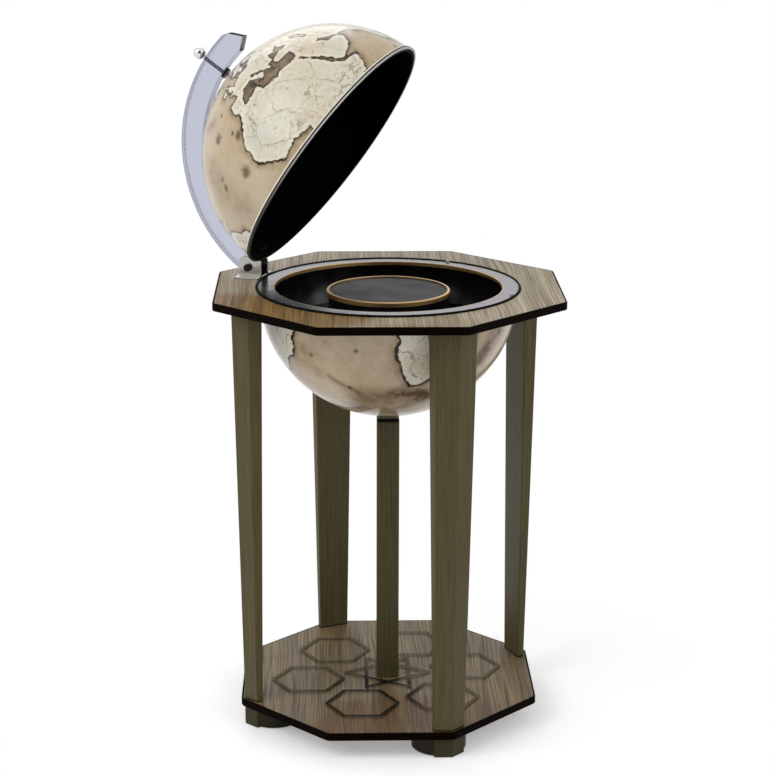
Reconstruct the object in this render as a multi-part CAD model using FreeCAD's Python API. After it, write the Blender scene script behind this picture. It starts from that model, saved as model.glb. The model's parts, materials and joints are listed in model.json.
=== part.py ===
# Globe bar: an octagonal table that carries a globe, whose upper half tilts open as a lid.
# Millimetres, +Z up. The origin is on the floor under the column. The front faces -Y.
import FreeCAD, Part
import math
import os

from FreeCAD import Placement, Rotation, Vector

# ---------------------------------------------------------------- driving dimensions
top_height = 684.0            # floor to the table's top surface
top_apothem = 265.0           # half the width across the top board's flats
shelf_apothem = 231.5
board_thickness = 12.0
band_thickness = 3.0          # hardwood lipping round both boards
board_corner_radius = 14.0
shelf_top = 43.5              # floor to the shelf's top surface

globe_radius = 200.0
globe_wall = 3.5
globe_hole_radius = 203.3     # hole in the top board

ring_radius = 200.3
ring_inner_radius = 176.5
ring_thickness = 4.0
ring_proud = 1.3              # ring surface above the top board's surface
gasket_proud = 1.0            # black gasket round the ring, above the top board's surface

tray_depth = 62.0             # tray floor below the top board's surface
tray_wall = 2.5
pedestal_radius = 92.0
pedestal_drop = 6.0           # pedestal surface below the top board's surface
glass_well_radius = 37.0
bottle_well_radius = 43.5
well_depth = 1.5
bottle_azimuths = [-9.0, 30.5, 70.0, 109.5]
glass_azimuths = [149.0 + 33.3 * k for k in range(6)]

leg_azimuths = {"front_right": -67.5, "back_right": 22.5, "back_left": 112.5, "front_left": 202.5}
leg_ridge_top = 257.0         # the leg's outer ridge from the column's axis: the legs lean out
leg_ridge_bottom = 244.5
leg_face_top = 37.0           # width of each outer face
leg_face_bottom = 27.0
leg_side_top = 22.5           # depth of each side
leg_side_bottom = 10.5
facet_half_angle = 22.5       # the two outer faces follow the octagon's edges

foot_radius = 42.0
foot_centre_radius = 195.0
pad_radius = 17.0
pad_height = 3.0
pad_proud = 1.0

column_width = 35.0
column_chamfer = 3.0
column_top = 473.0
cap_top_width = 26.0
cap_gasket_height = 2.0
seat_depth = 0.3              # how far the cap's top rises round the globe's foot
bolt_radius = 4.0             # the bolts up into the column and down into it
bolt_head_radius = 6.5
bolt_head_height = 8.0
bolt_length = 50.0            # how deep the lower bolt goes into the column
bolt_clearance = 0.2

lid_lift = 4.0                # closed lid's edge above the top board's surface
hinge_azimuth = 159.5
hinge_radius = 226.3          # hinge pin from the globe's axis
hinge_height = 16.5           # hinge pin above the top board's surface
open_angle = 56.0
pin_radius = 3.0
pin_clearance = 0.05
ear_offset = 12.2             # inner face of each hinge ear from the hinge's middle
ear_thickness = 4.0
ear_height = 33.0
base_thickness = 3.0
base_half_width = 31.0
cap_radius = 6.0              # round nuts on the hinge pin's ends

meridian_thickness = 18.0
meridian_shift = 10.6         # the meridian's centre above the globe's centre
meridian_outer = 240.0
meridian_inner = 203.5
meridian_foot = 20.0          # height of its foot above the lid's rim
knob_radius = 10.0
knob_distance = 264.0         # knob's centre from the dome's centre
pole_pin_radius = 2.7

# ---------------------------------------------------------------- worked-out values
foot_top = shelf_top - board_thickness
top_underside = top_height - board_thickness
ring_top = top_height + ring_proud
ring_underside = ring_top - ring_thickness
flange_height = 2.0
bowl_rim = ring_underside - flange_height
tray_floor = top_height - tray_depth
bowl_bottom = top_height - globe_radius
globe_centre = Vector(0, 0, top_height)
knuckle_half_width = ear_offset - 0.3
up = Vector(0, 0, 1)

os.makedirs("parts", exist_ok=True)


# ---------------------------------------------------------------- helpers
def write(name, shape):
    """Write one sub-part; a group of separate solids is one compound."""
    if not shape.isValid():
        raise ValueError(name + " is not valid")
    shape.exportStep("parts/" + name + ".step")


def cylinder(radius, height, x=0.0, y=0.0, z=0.0, axis=up):
    return Part.makeCylinder(radius, height, Vector(x, y, z), axis)


def ring(outer, inner, height, z):
    return cylinder(outer, height, z=z).cut(cylinder(inner, height, z=z))


def turned(shape, azimuth):
    """Turn a shape built towards +X about the table's axis."""
    return shape.rotated(Vector(0, 0, 0), up, azimuth)


def face_of(points):
    return Part.Face(Part.makePolygon(points + [points[0]]))


def slab(points, height):
    return face_of(points).extrude(up * height)


def octagon(apothem, height, z, corner_radius):
    """A regular octagon with edges on the X and Y sides and rounded corners."""
    corner = apothem / math.cos(math.radians(22.5))
    angles = [math.radians(22.5 + 45.0 * k) for k in range(8)]
    points = [Vector(corner * math.cos(a), corner * math.sin(a), z) for a in angles]
    solid = slab(points, height)
    return solid.makeFillet(corner_radius, upright_edges(solid))


def upright_edges(solid):
    return [e for e in solid.Edges if abs(e.tangentAt(e.FirstParameter).z) > 0.99]


def outline_face(points, arcs=None):
    """A face in the XZ plane; arcs maps a point's index to the middle of the arc that it starts."""
    arcs = arcs or {}
    edges = []
    for i, start in enumerate(points):
        end = points[(i + 1) % len(points)]
        a, b = Vector(start[0], 0, start[1]), Vector(end[0], 0, end[1])
        if i in arcs:
            middle = Vector(arcs[i][0], 0, arcs[i][1])
            edges.append(Part.Arc(a, middle, b).toShape())
        else:
            edges.append(Part.makeLine(a, b))
    return Part.Face(Part.Wire(edges))


def revolved(points, arcs=None):
    """Revolve an outline in the XZ plane about the Z axis."""
    return outline_face(points, arcs).revolve(Vector(0, 0, 0), up, 360)


def on_sphere(radius, height):
    """The distance from the axis at which a sphere round the origin reaches a height."""
    return math.sqrt(radius ** 2 - height ** 2)


def hemisphere(outer, inner, base, hole_radius):
    """A domed shell round the origin that starts at a height and has a hole at its pole."""
    outer_top, inner_top = on_sphere(outer, hole_radius), on_sphere(inner, hole_radius)
    middle = math.radians(50.0)
    points = [(on_sphere(inner, base), base), (on_sphere(outer, base), base),
              (hole_radius, outer_top), (hole_radius, inner_top)]
    arcs = {1: (outer * math.cos(middle), outer * math.sin(middle)),
            3: (inner * math.cos(middle), inner * math.sin(middle))}
    return revolved(points, arcs)


def counterbored_screw(shank_radius, head_radius, head_height, length):
    """A screw that points down from the origin, with its head's top at the origin."""
    head = cylinder(head_radius, head_height, z=-head_height)
    socket = cylinder(head_radius * 0.4, head_height * 0.6, z=-head_height * 0.6)
    shank = cylinder(shank_radius, length, z=-head_height - length)
    return head.cut(socket).fuse(shank).removeSplitter()


# ---------------------------------------------------------------- legs and feet
def leg_outline(ridge, face_width, side_depth, z):
    """Two outer faces that meet at the ridge, two sides and a flat inner face."""
    angle = math.radians(facet_half_angle)
    shoulder = ridge - face_width * math.sin(angle)
    half = face_width * math.cos(angle)
    back = shoulder - side_depth
    return [Vector(ridge, 0, z), Vector(shoulder, half, z), Vector(back, half, z),
            Vector(back, -half, z), Vector(shoulder, -half, z)]


def closed_wire(points):
    return Part.makePolygon(points + [points[0]])


leg_arris_radius = 2.0
leg_screw_radius = leg_ridge_bottom - 14.5      # the screw's place, from the column's axis
leg_screw_shank, leg_screw_head = 2.5, 5.0
leg_screw_length = 56.0
leg_screw_sink = 3.0          # screw head's face above the foot's underside
dowel_radius = 5.0
dowel_in_leg, dowel_in_board = 15.0, 6.0
dowel_gap = 3.0               # room left for glue in the leg's dowel hole
dowel_sides = (-17.0, 17.0)
dowel_centre = leg_ridge_top - 20.0


def make_leg():
    outline_bottom = leg_outline(leg_ridge_bottom, leg_face_bottom, leg_side_bottom, shelf_top)
    outline_top = leg_outline(leg_ridge_top, leg_face_top, leg_side_top, top_underside)
    leg = Part.makeLoft([closed_wire(outline_bottom), closed_wire(outline_top)], True, True)
    leg = leg.makeFillet(leg_arris_radius, upright_edges(leg))
    for side in dowel_sides:
        hole_bottom = top_underside - dowel_in_leg - dowel_gap
        leg = leg.cut(cylinder(dowel_radius, dowel_in_leg + dowel_gap, dowel_centre, side, hole_bottom))
    return leg.cut(cylinder(leg_screw_shank, 40.0, leg_screw_radius, 0, shelf_top))


def make_dowels():
    start = top_underside - dowel_in_leg
    length = dowel_in_leg + dowel_in_board
    return [cylinder(dowel_radius, length, dowel_centre, side, start) for side in dowel_sides]


def make_foot_drum():
    foot = cylinder(foot_radius, foot_top - pad_proud, foot_centre_radius, 0, pad_proud)
    foot = foot.makeChamfer(1.5, [e for e in foot.Edges if e.BoundBox.ZLength < 0.01])
    foot = foot.cut(cylinder(pad_radius, pad_height - pad_proud, foot_centre_radius, 0, pad_proud))
    foot = foot.cut(cylinder(leg_screw_shank + 0.3, foot_top, leg_screw_radius, 0, 0))
    recess_depth = leg_screw_sink + leg_screw_head
    return foot.cut(cylinder(leg_screw_head + 0.5, recess_depth, leg_screw_radius, 0, pad_proud))


def make_foot_shoe():
    """The leg's two outer faces carried on below the shelf, hollowed behind to fit the drum."""
    outline = leg_outline(leg_ridge_bottom, leg_face_bottom, leg_side_bottom, pad_proud)
    shoe = slab(outline, foot_top - pad_proud)
    front_of = leg_ridge_bottom - 12.0
    shoe = shoe.makeFillet(leg_arris_radius, [e for e in upright_edges(shoe) if e.CenterOfMass.x > front_of])
    return shoe.cut(cylinder(foot_radius, foot_top, foot_centre_radius, 0, 0))


def make_leg_screw():
    screw = counterbored_screw(leg_screw_shank, leg_screw_head, leg_screw_head, leg_screw_length)
    screw.rotate(Vector(0, 0, 0), Vector(1, 0, 0), 180)
    screw.translate(Vector(leg_screw_radius, 0, pad_proud + leg_screw_sink))
    return screw


leg, drum, shoe = make_leg(), make_foot_drum(), make_foot_shoe()
dowels, leg_screws, pads = [], [], []
for place, azimuth in leg_azimuths.items():
    write("leg_" + place, turned(leg, azimuth))
    write("foot_drum_" + place, turned(drum, azimuth))
    write("foot_shoe_" + place, turned(shoe, azimuth))
    dowels += [turned(dowel, azimuth) for dowel in make_dowels()]
    leg_screws.append(turned(make_leg_screw(), azimuth))
    pads.append(turned(cylinder(pad_radius, pad_height, foot_centre_radius), azimuth))
write("leg_dowels", Part.makeCompound(dowels))
write("leg_screws", Part.makeCompound(leg_screws))
write("floor_pads", Part.makeCompound(pads))


# ---------------------------------------------------------------- boards
def edge_band(apothem, z):
    """Lipping round a board, with both outer arrises taken off."""
    outer = octagon(apothem, board_thickness, z, board_corner_radius)
    rims = [e for e in outer.Edges if e.BoundBox.ZLength < 0.01]
    inner = octagon(apothem - band_thickness, board_thickness, z, board_corner_radius - band_thickness)
    return outer.makeChamfer(0.9, rims).cut(inner)


def board(apothem, z):
    return octagon(apothem - band_thickness, board_thickness, z, board_corner_radius - band_thickness)


base_screw_rows = (221.0, 239.0)
base_screw_places = [(x, y) for x in base_screw_rows for y in (-24.0, 24.0)]
base_screw_shank, base_screw_head = 1.5, 3.6
base_screw_depth = 9.0        # how deep the screws go into the board

top_board = board(top_apothem, top_underside)
top_board = top_board.cut(cylinder(globe_hole_radius, board_thickness, z=top_underside))
hole_rim = [e for e in top_board.Edges if abs(e.BoundBox.ZMax - top_height) < 0.01
            and e.BoundBox.ZLength < 0.01 and abs(e.BoundBox.XLength - 2 * globe_hole_radius) < 0.1]
top_board = top_board.makeChamfer(1.2, hole_rim)
for azimuth in leg_azimuths.values():
    for side in dowel_sides:
        dowel_hole = cylinder(dowel_radius, dowel_in_board, dowel_centre, side, top_underside)
        top_board = top_board.cut(turned(dowel_hole, azimuth))
for x, y in base_screw_places:
    pilot = cylinder(base_screw_shank, base_screw_depth, x, y, top_height - base_screw_depth)
    top_board = top_board.cut(turned(pilot, hinge_azimuth))
write("top_board", top_board)
write("top_edge_band", edge_band(top_apothem, top_underside))

shelf = board(shelf_apothem, foot_top).cut(cylinder(4.2, board_thickness, z=foot_top))
for azimuth in leg_azimuths.values():
    shelf = shelf.cut(turned(cylinder(2.8, board_thickness, leg_screw_radius, 0, foot_top), azimuth))
write("shelf_board", shelf)
write("shelf_edge_band", edge_band(shelf_apothem, foot_top))


# ---------------------------------------------------------------- column
def chamfered_square(width, chamfer, z):
    half, inset = width / 2, width / 2 - chamfer
    corners = [(half, inset), (inset, half), (-inset, half), (-half, inset),
               (-half, -inset), (-inset, -half), (inset, -half), (half, -inset)]
    return [Vector(x, y, z) for x, y in corners]


column = slab(chamfered_square(column_width, column_chamfer, shelf_top), column_top - shelf_top)
lower_hole, upper_hole = bolt_length + 10.0, bolt_length - 5.0
column = column.cut(cylinder(bolt_radius, lower_hole, z=shelf_top))
column = column.cut(cylinder(bolt_radius, upper_hole, z=column_top - upper_hole))
write("column", column)

gasket_outline = chamfered_square(column_width - 2.0, column_chamfer - 0.6, column_top)
gasket_hole = cylinder(bolt_radius, cap_gasket_height, z=column_top)
write("column_gasket", slab(gasket_outline, cap_gasket_height).cut(gasket_hole))

cap_base = column_top + cap_gasket_height
cap_height = bowl_bottom - cap_base + seat_depth
cap_sections = [(column_width - 1.0, 0.0), (column_width - 4.0, 0.25),
                (cap_top_width + 1.0, 0.6), (cap_top_width, 1.0)]
cap_wires = [closed_wire(chamfered_square(width, width / 12, cap_base + share * cap_height))
             for width, share in cap_sections]
column_cap = Part.makeLoft(cap_wires, True, True)
column_cap = column_cap.cut(Part.makeSphere(globe_radius, globe_centre))
column_cap = column_cap.cut(cylinder(bolt_radius, cap_height, z=cap_base))
write("column_cap", column_cap)

shank_length = board_thickness + bolt_length
column_bolt = counterbored_screw(bolt_radius, bolt_head_radius, bolt_head_height, shank_length)
column_bolt.rotate(Vector(0, 0, 0), Vector(1, 0, 0), 180)
washer_height = 2.0
washer_hole = bolt_radius + bolt_clearance
column_bolt.translate(Vector(0, 0, foot_top - washer_height - bolt_head_height))
write("column_bolt", column_bolt)
write("column_washer", ring(14.0, washer_hole, washer_height, foot_top - washer_height))


# ---------------------------------------------------------------- lower half of the globe
def below_globe_centre(shape):
    """Turn a dome upside down and hang it from the globe's centre."""
    turned_over = shape.rotated(Vector(0, 0, 0), Vector(1, 0, 0), 180)
    turned_over.translate(globe_centre)
    return turned_over


bowl_inner = globe_radius - globe_wall
bowl = hemisphere(globe_radius, bowl_inner, top_height - bowl_rim, washer_hole)
write("bowl_shell", below_globe_centre(bowl))

bowl_washer_z = top_height - bowl_inner + 0.4
write("bowl_washer", ring(12.0, washer_hole, washer_height, bowl_washer_z))
bowl_bolt = counterbored_screw(bolt_radius, bolt_head_radius, bolt_head_height, bolt_length - 5.0)
bowl_bolt.translate(Vector(0, 0, bowl_washer_z + washer_height + bolt_head_height))
write("bowl_bolt", bowl_bolt)

tray_sphere_outer = bowl_inner - 2.0
tray_sphere_inner = tray_sphere_outer - tray_wall
tray_floor_thickness = 3.5
flange_drop = top_height - bowl_rim
wall_foot = tray_depth + tray_floor_thickness


def make_tray():
    """A pan that follows the bowl, hangs from its rim by a flange and has wells in a flat floor."""
    outer_foot = (on_sphere(tray_sphere_outer, wall_foot), -wall_foot)
    inner_foot = (on_sphere(tray_sphere_inner, tray_depth), -tray_depth)
    top_drop = flange_drop - flange_height
    flange_radius = globe_radius - 1.0
    points = [(0.0, -wall_foot), outer_foot, (on_sphere(tray_sphere_outer, flange_drop), -flange_drop),
              (flange_radius, -flange_drop), (flange_radius, -top_drop),
              (on_sphere(tray_sphere_inner, top_drop), -top_drop), inner_foot, (0.0, -tray_depth)]
    outer_middle = (wall_foot + flange_drop) / 2
    inner_middle = (tray_depth + top_drop) / 2
    arcs = {1: (on_sphere(tray_sphere_outer, outer_middle), -outer_middle),
            5: (on_sphere(tray_sphere_inner, inner_middle), -inner_middle)}
    tray = revolved(points, arcs)
    tray.translate(globe_centre)
    middle = (pedestal_radius + inner_foot[0]) / 2
    wells = [(bottle_well_radius, azimuth) for azimuth in bottle_azimuths]
    wells += [(glass_well_radius, azimuth) for azimuth in glass_azimuths]
    for radius, azimuth in wells:
        well = cylinder(radius, well_depth, middle, 0, tray_floor - well_depth)
        tray = tray.cut(turned(well, azimuth))
    return tray


write("glass_tray", make_tray())

pedestal_top = top_height - pedestal_drop
pedestal_wall = 3.0
pedestal = cylinder(pedestal_radius, pedestal_top - tray_floor, z=tray_floor)
hollow = cylinder(pedestal_radius - pedestal_wall, pedestal_top - tray_floor - pedestal_wall, z=tray_floor)
write("pedestal", pedestal.cut(hollow))
trim_outer, trim_inner = pedestal_radius + 3.0, pedestal_radius - 1.0
trim_foot, trim_crown = pedestal_top - 5.0, pedestal_top + 2.0
trim_profile = [(pedestal_radius, trim_foot), (trim_outer, trim_foot), (trim_outer, trim_crown - 1.0),
                (trim_outer - 1.0, trim_crown), (trim_inner, trim_crown), (trim_inner, pedestal_top),
                (pedestal_radius, pedestal_top)]
write("pedestal_trim", revolved(trim_profile))

ring_arris = 0.5
ring_arris, lip_arris = 0.5, 0.6
below_ring = ring_underside - 1.5
ring_profile = [(ring_inner_radius, ring_underside), (ring_radius, ring_underside),
                (ring_radius, ring_top - ring_arris), (ring_radius - ring_arris, ring_top),
                (ring_inner_radius, ring_top)]
write("bowl_ring", revolved(ring_profile))
lip_inner = ring_inner_radius - 1.5
lip_profile = [(lip_inner, below_ring), (ring_inner_radius, below_ring), (ring_inner_radius, ring_top),
               (lip_inner + lip_arris, ring_top), (lip_inner, ring_top - lip_arris)]
write("ring_lip", revolved(lip_profile))
gasket_inner, gasket_top = ring_radius + 0.2, top_height + gasket_proud
gasket_profile = [(gasket_inner, below_ring), (globe_hole_radius, below_ring),
                  (globe_hole_radius, gasket_top - lip_arris), (globe_hole_radius - lip_arris, gasket_top),
                  (gasket_inner, gasket_top)]
write("ring_gasket", revolved(gasket_profile))

bumper_radius, bumper_place = 3.0, 196.5
bumper_height = lid_lift - ring_proud - 0.1
bumper_azimuths = [hinge_azimuth + 180.0 + spread for spread in (-80.0, 0.0, 80.0)]
bumper = cylinder(bumper_radius, bumper_height, bumper_place, 0, ring_top)
write("lid_bumpers", Part.makeCompound([turned(bumper, azimuth) for azimuth in bumper_azimuths]))


# ---------------------------------------------------------------- hinge, built towards +X
def at_hinge(shape):
    """Move a shape from the globe's centre, built towards +X, to the hinge's side of the table."""
    moved = turned(shape, hinge_azimuth)
    moved.translate(globe_centre)
    return moved


def opened(shape):
    """Lift a lid piece, built round the dome's centre, to its closed place, then swing it open."""
    swung = shape.translated(Vector(0, 0, lid_lift))
    swung.rotate(Vector(hinge_radius, 0, hinge_height), Vector(0, 1, 0), open_angle)
    return at_hinge(swung)


def write_lid(name, shape):
    write(name, opened(shape))


def across(face, half_width):
    """Extrude a face in the XZ plane to both sides of the hinge's middle."""
    solid = face.extrude(Vector(0, 2 * half_width, 0))
    solid.translate(Vector(0, -half_width, 0))
    return solid


ear_inner, ear_outer = 205.5, 241.0
base_outer = 245.5


def make_ear(start):
    """A hinge ear with a generous round towards the globe, so that the lid's rim swings past it."""
    inner_round, outer_round = 10.0, 6.0
    spread = 1 - math.sqrt(0.5)     # how far an arc's middle stands in from the corner it rounds
    outline = [(ear_inner, 0.0), (ear_outer, 0.0), (ear_outer, ear_height - outer_round),
               (ear_outer - outer_round, ear_height), (ear_inner + inner_round, ear_height),
               (ear_inner, ear_height - inner_round)]
    arcs = {2: (ear_outer - outer_round * spread, ear_height - outer_round * spread),
            4: (ear_inner + inner_round * spread, ear_height - inner_round * spread)}
    ear = outline_face(outline, arcs).extrude(Vector(0, ear_thickness, 0))
    ear.translate(Vector(0, start, 0))
    return ear


def across_bore(radius, x, z):
    """A bore right through the hinge from side to side."""
    return cylinder(radius, 2 * base_half_width, x, -base_half_width, z, Vector(0, 1, 0))


base_screw_hole = base_screw_shank + 0.3
base_screw_cone = base_screw_head - base_screw_hole


def countersink(x, y):
    """The cone of a countersunk screw's head, flush with the hinge base's top."""
    foot = Vector(x, y, base_thickness - base_screw_cone)
    return Part.makeCone(base_screw_hole, base_screw_head, base_screw_cone, foot, up)


def make_hinge_base():
    base = Part.makeBox(base_outer - ear_inner, 2 * base_half_width, base_thickness,
                        Vector(ear_inner, -base_half_width, 0))
    base = base.makeFillet(6.0, [e for e in upright_edges(base) if e.CenterOfMass.x > hinge_radius])
    base = base.makeChamfer(0.8, [e for e in base.Edges if e.BoundBox.ZMin > base_thickness - 0.01])
    for start in (ear_offset, -ear_offset - ear_thickness):
        base = base.fuse(make_ear(start))
    base = base.removeSplitter().cut(across_bore(pin_radius, hinge_radius, hinge_height))
    for x, y in base_screw_places:
        base = base.cut(cylinder(base_screw_hole, base_thickness, x, y, 0)).cut(countersink(x, y))
    return base


def make_base_screws():
    screws = []
    depth = base_screw_depth - 0.5
    slot_width = 0.8
    for x, y in base_screw_places:
        shank = cylinder(base_screw_shank, depth + base_thickness - base_screw_cone, x, y, -depth)
        corner = Vector(x - base_screw_head, y - slot_width / 2, base_thickness - slot_width)
        slot = Part.makeBox(2 * base_screw_head, slot_width, slot_width, corner)
        screws.append(at_hinge(countersink(x, y).fuse(shank).cut(slot).removeSplitter()))
    return screws


write("hinge_base", at_hinge(make_hinge_base()))
write("hinge_screws", Part.makeCompound(make_base_screws()))

pin_half = ear_offset + ear_thickness
cap_length, cap_depth = 6.0, 3.5


def make_pin_cap():
    """A blind round nut on the pin's end, built towards +Y."""
    cap = cylinder(cap_radius, cap_length, hinge_radius, pin_half, hinge_height, Vector(0, 1, 0))
    front = [e for e in cap.Edges if e.BoundBox.YMin > pin_half + cap_length - 0.01]
    cap = cap.makeChamfer(1.4, front)
    return cap.cut(cylinder(pin_radius, cap_depth, hinge_radius, pin_half, hinge_height, Vector(0, 1, 0)))


pin_reach = pin_half + cap_depth
write("hinge_pin", at_hinge(cylinder(pin_radius, 2 * pin_reach, hinge_radius, -pin_reach, hinge_height,
                                     Vector(0, 1, 0))))
pin_cap = make_pin_cap()
far_cap = pin_cap.mirror(Vector(0, 0, 0), Vector(0, 1, 0))
write("hinge_pin_caps", Part.makeCompound([at_hinge(pin_cap), at_hinge(far_cap)]))


# ---------------------------------------------------------------- lid
barrel_radius = 9.0
heel_reach = 9.0              # where the heel lands on the base, outside the pin
pin_in_lid = hinge_height - lid_lift      # pin above the lid's edge, in the lid's own frame
knuckle_top = 30.0
stop_gap = 0.12
clamp_places = [(212.0, 25.0), (228.0, 23.5)]
clamp_radius = 1.6
rim_screw_places = [(-6.0, 13.5), (6.0, 13.5)]
rim_screw_radius = 1.5
rim_screw_seat = 193.1        # where the screws' heads bear on the liner


def when_closed(x, z):
    """Where a point lies in the lid's own frame, for a point given over the board with the lid open."""
    turn = math.radians(open_angle)
    out, high = x - hinge_radius, z - hinge_height
    return (hinge_radius + out * math.cos(turn) - high * math.sin(turn),
            pin_in_lid + out * math.sin(turn) + high * math.cos(turn))


def make_knuckle():
    """The lid's hinge block: barrel, heel that lands on the base, meridian's channel, pad on the dome."""
    heel = when_closed(hinge_radius + heel_reach, base_thickness + stop_gap)
    inside_dome = globe_radius - 10.0
    outline = [(inside_dome, 9.0), (hinge_radius - 8.0, pin_in_lid - 8.0),
               (hinge_radius + 8.0, pin_in_lid - 1.5), heel, (heel[0], heel[1] + 4.0),
               (meridian_outer + 0.5, 26.0), (meridian_inner, knuckle_top), (inside_dome, knuckle_top)]
    body = across(outline_face(outline), knuckle_half_width)
    barrel = cylinder(barrel_radius, 2 * knuckle_half_width, hinge_radius, -knuckle_half_width,
                      pin_in_lid, Vector(0, 1, 0))
    knuckle = body.fuse(barrel).removeSplitter()
    knuckle = knuckle.cut(Part.makeSphere(globe_radius + 0.1))
    channel = meridian_thickness + 0.1
    channel_start = meridian_inner - 1.2
    channel_corner = Vector(channel_start, -channel / 2, meridian_foot)
    knuckle = knuckle.cut(Part.makeBox(60.0, channel, 40.0, channel_corner))
    knuckle = knuckle.cut(across_bore(pin_radius + pin_clearance, hinge_radius, pin_in_lid))
    for x, z in clamp_places:
        knuckle = knuckle.cut(across_bore(clamp_radius, x, z))
    for y, z in rim_screw_places:
        knuckle = knuckle.cut(cylinder(rim_screw_radius, 12.0, 196.0, y, z, Vector(1, 0, 0)))
    return knuckle


def meridian_point(radius, z):
    """The distance from the axis at which one of the meridian's circles reaches a height."""
    return math.sqrt(radius ** 2 - (z - meridian_shift) ** 2)


def make_meridian():
    """A clear bar bent over the globe, from its foot in the hinge to a grip past the pole."""
    foot_outer = (meridian_point(meridian_outer, meridian_foot), meridian_foot)
    foot_inner = (meridian_point(meridian_inner, meridian_foot), meridian_foot)
    grip_outer_x, grip_inner_x, nose_x = -48.0, -44.0, -66.0
    outer_end = (grip_outer_x, meridian_shift + math.sqrt(meridian_outer ** 2 - grip_outer_x ** 2))
    inner_end = (grip_inner_x, meridian_shift + math.sqrt(meridian_inner ** 2 - grip_inner_x ** 2))
    nose = (nose_x, inner_end[1] + 8.0)
    shoulder = (grip_outer_x - 7.0, outer_end[1] - 5.0)
    half = math.radians(45.0)
    outer_middle = (meridian_outer * math.cos(half), meridian_shift + meridian_outer * math.sin(half))
    inner_middle = (meridian_inner * math.cos(half), meridian_shift + meridian_inner * math.sin(half))
    points = [foot_outer, outer_end, shoulder, nose, inner_end, foot_inner]
    bar = across(outline_face(points, {0: outer_middle, 4: inner_middle}), meridian_thickness / 2)
    bar = bar.cut(cylinder(pole_pin_radius + 0.4, 60.0, z=globe_radius))
    for x, z in clamp_places:
        bar = bar.cut(across_bore(clamp_radius, x, z))
    return bar


def make_clamp_screws():
    """Screws across the channel, flush with the hinge block's sides."""
    length = 2 * knuckle_half_width - 0.4
    across_axis = Vector(0, 1, 0)
    return [opened(cylinder(clamp_radius, length, x, -length / 2, z, across_axis)) for x, z in clamp_places]


def make_rim_screws():
    """Screws from inside the dome into the hinge block."""
    screws = []
    head_radius, head_height, outwards = 3.5, 2.2, Vector(1, 0, 0)
    for y, z in rim_screw_places:
        head = cylinder(head_radius, head_height, rim_screw_seat - head_height, y, z, outwards)
        inner_edge = [e for e in head.Edges if e.BoundBox.XMax < rim_screw_seat - head_height + 0.1]
        shank = cylinder(rim_screw_radius, 14.0, rim_screw_seat, y, z, outwards)
        screws.append(opened(head.makeChamfer(0.8, inner_edge).fuse(shank).removeSplitter()))
    return screws


liner_outer = globe_radius - globe_wall - 0.3
liner_inner = liner_outer - 2.0
liner_hole = 8.0              # room for the nut at the pole
lid_flange = 1.6              # thickness of the liner's flange, which closes the lid's edge
lid_flange_radius = 202.6
rim_radius = 202.3
rim_top = 5.0
groove_depth = 0.7


def make_liner():
    """A black inner dome whose flange turns out under the dome's edge."""
    shell = hemisphere(liner_outer, liner_inner, lid_flange, liner_hole)
    arris = 0.4
    mouth = on_sphere(liner_inner, lid_flange)
    flange = revolved([(mouth, 0.0), (lid_flange_radius - arris, 0.0), (lid_flange_radius, arris),
                       (lid_flange_radius, lid_flange), (mouth, lid_flange)])
    return shell.fuse(flange).removeSplitter()


def make_rim():
    """A bright grooved hoop round the outside of the lid's edge."""
    inner, groove = globe_radius + 0.1, rim_radius - groove_depth
    points = [(inner, lid_flange), (rim_radius, lid_flange), (rim_radius, 2.7), (groove, 3.0), (groove, 3.4),
              (rim_radius, 3.7), (rim_radius, rim_top - 0.6), (rim_radius - 0.6, rim_top), (inner, rim_top)]
    return revolved(points)


dome = hemisphere(globe_radius, globe_radius - globe_wall, lid_flange, pole_pin_radius + 0.1)
liner = make_liner()
for y, z in rim_screw_places:
    screw_hole = cylinder(rim_screw_radius + 0.1, 20.0, 188.0, y, z, Vector(1, 0, 0))
    dome, liner = dome.cut(screw_hole), liner.cut(screw_hole)
write_lid("dome_shell", dome)
write_lid("dome_liner", liner)
write_lid("dome_rim", make_rim())
write_lid("hinge_knuckle", make_knuckle())
write_lid("meridian", make_meridian())
write("clamp_screws", Part.makeCompound(make_clamp_screws()))
write("rim_screws", Part.makeCompound(make_rim_screws()))

spacer_height = 4.6
spacer_radius = 8.6
spacer_base = meridian_shift + meridian_inner - spacer_height - 0.25
write_lid("pole_spacer", ring(spacer_radius, pole_pin_radius + 0.4, spacer_height, spacer_base))
pin_foot = 184.0              # the pole pin's inner end, from the dome's centre
knob_flat = knob_distance - knob_radius
pole_pin = cylinder(pole_pin_radius, knob_flat + 4.0 - pin_foot, z=pin_foot)
pole_pin = pole_pin.fuse(cylinder(6.0, 2.0, z=globe_radius + 0.05))
write_lid("pole_pin", pole_pin.removeSplitter())
knob = Part.makeSphere(knob_radius, Vector(0, 0, knob_distance))
knob = knob.cut(cylinder(knob_radius, 1.2, z=knob_flat)).cut(cylinder(pole_pin_radius, 4.0, z=knob_flat))
write_lid("ball_knob", knob)
nut_height = 6.0
nut_corner = 7.0
nut_base = on_sphere(globe_radius - globe_wall, nut_corner) - nut_height
nut_angles = [math.radians(60.0 * k) for k in range(6)]
nut_corners = [Vector(nut_corner * math.cos(a), nut_corner * math.sin(a), nut_base) for a in nut_angles]
nut = slab(nut_corners, nut_height)
write_lid("pole_nut", nut.cut(cylinder(pole_pin_radius, nut_height, z=nut_base)))
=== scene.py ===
import json
import math
import bpy
import numpy as np
from mathutils import Matrix, Vector


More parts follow.
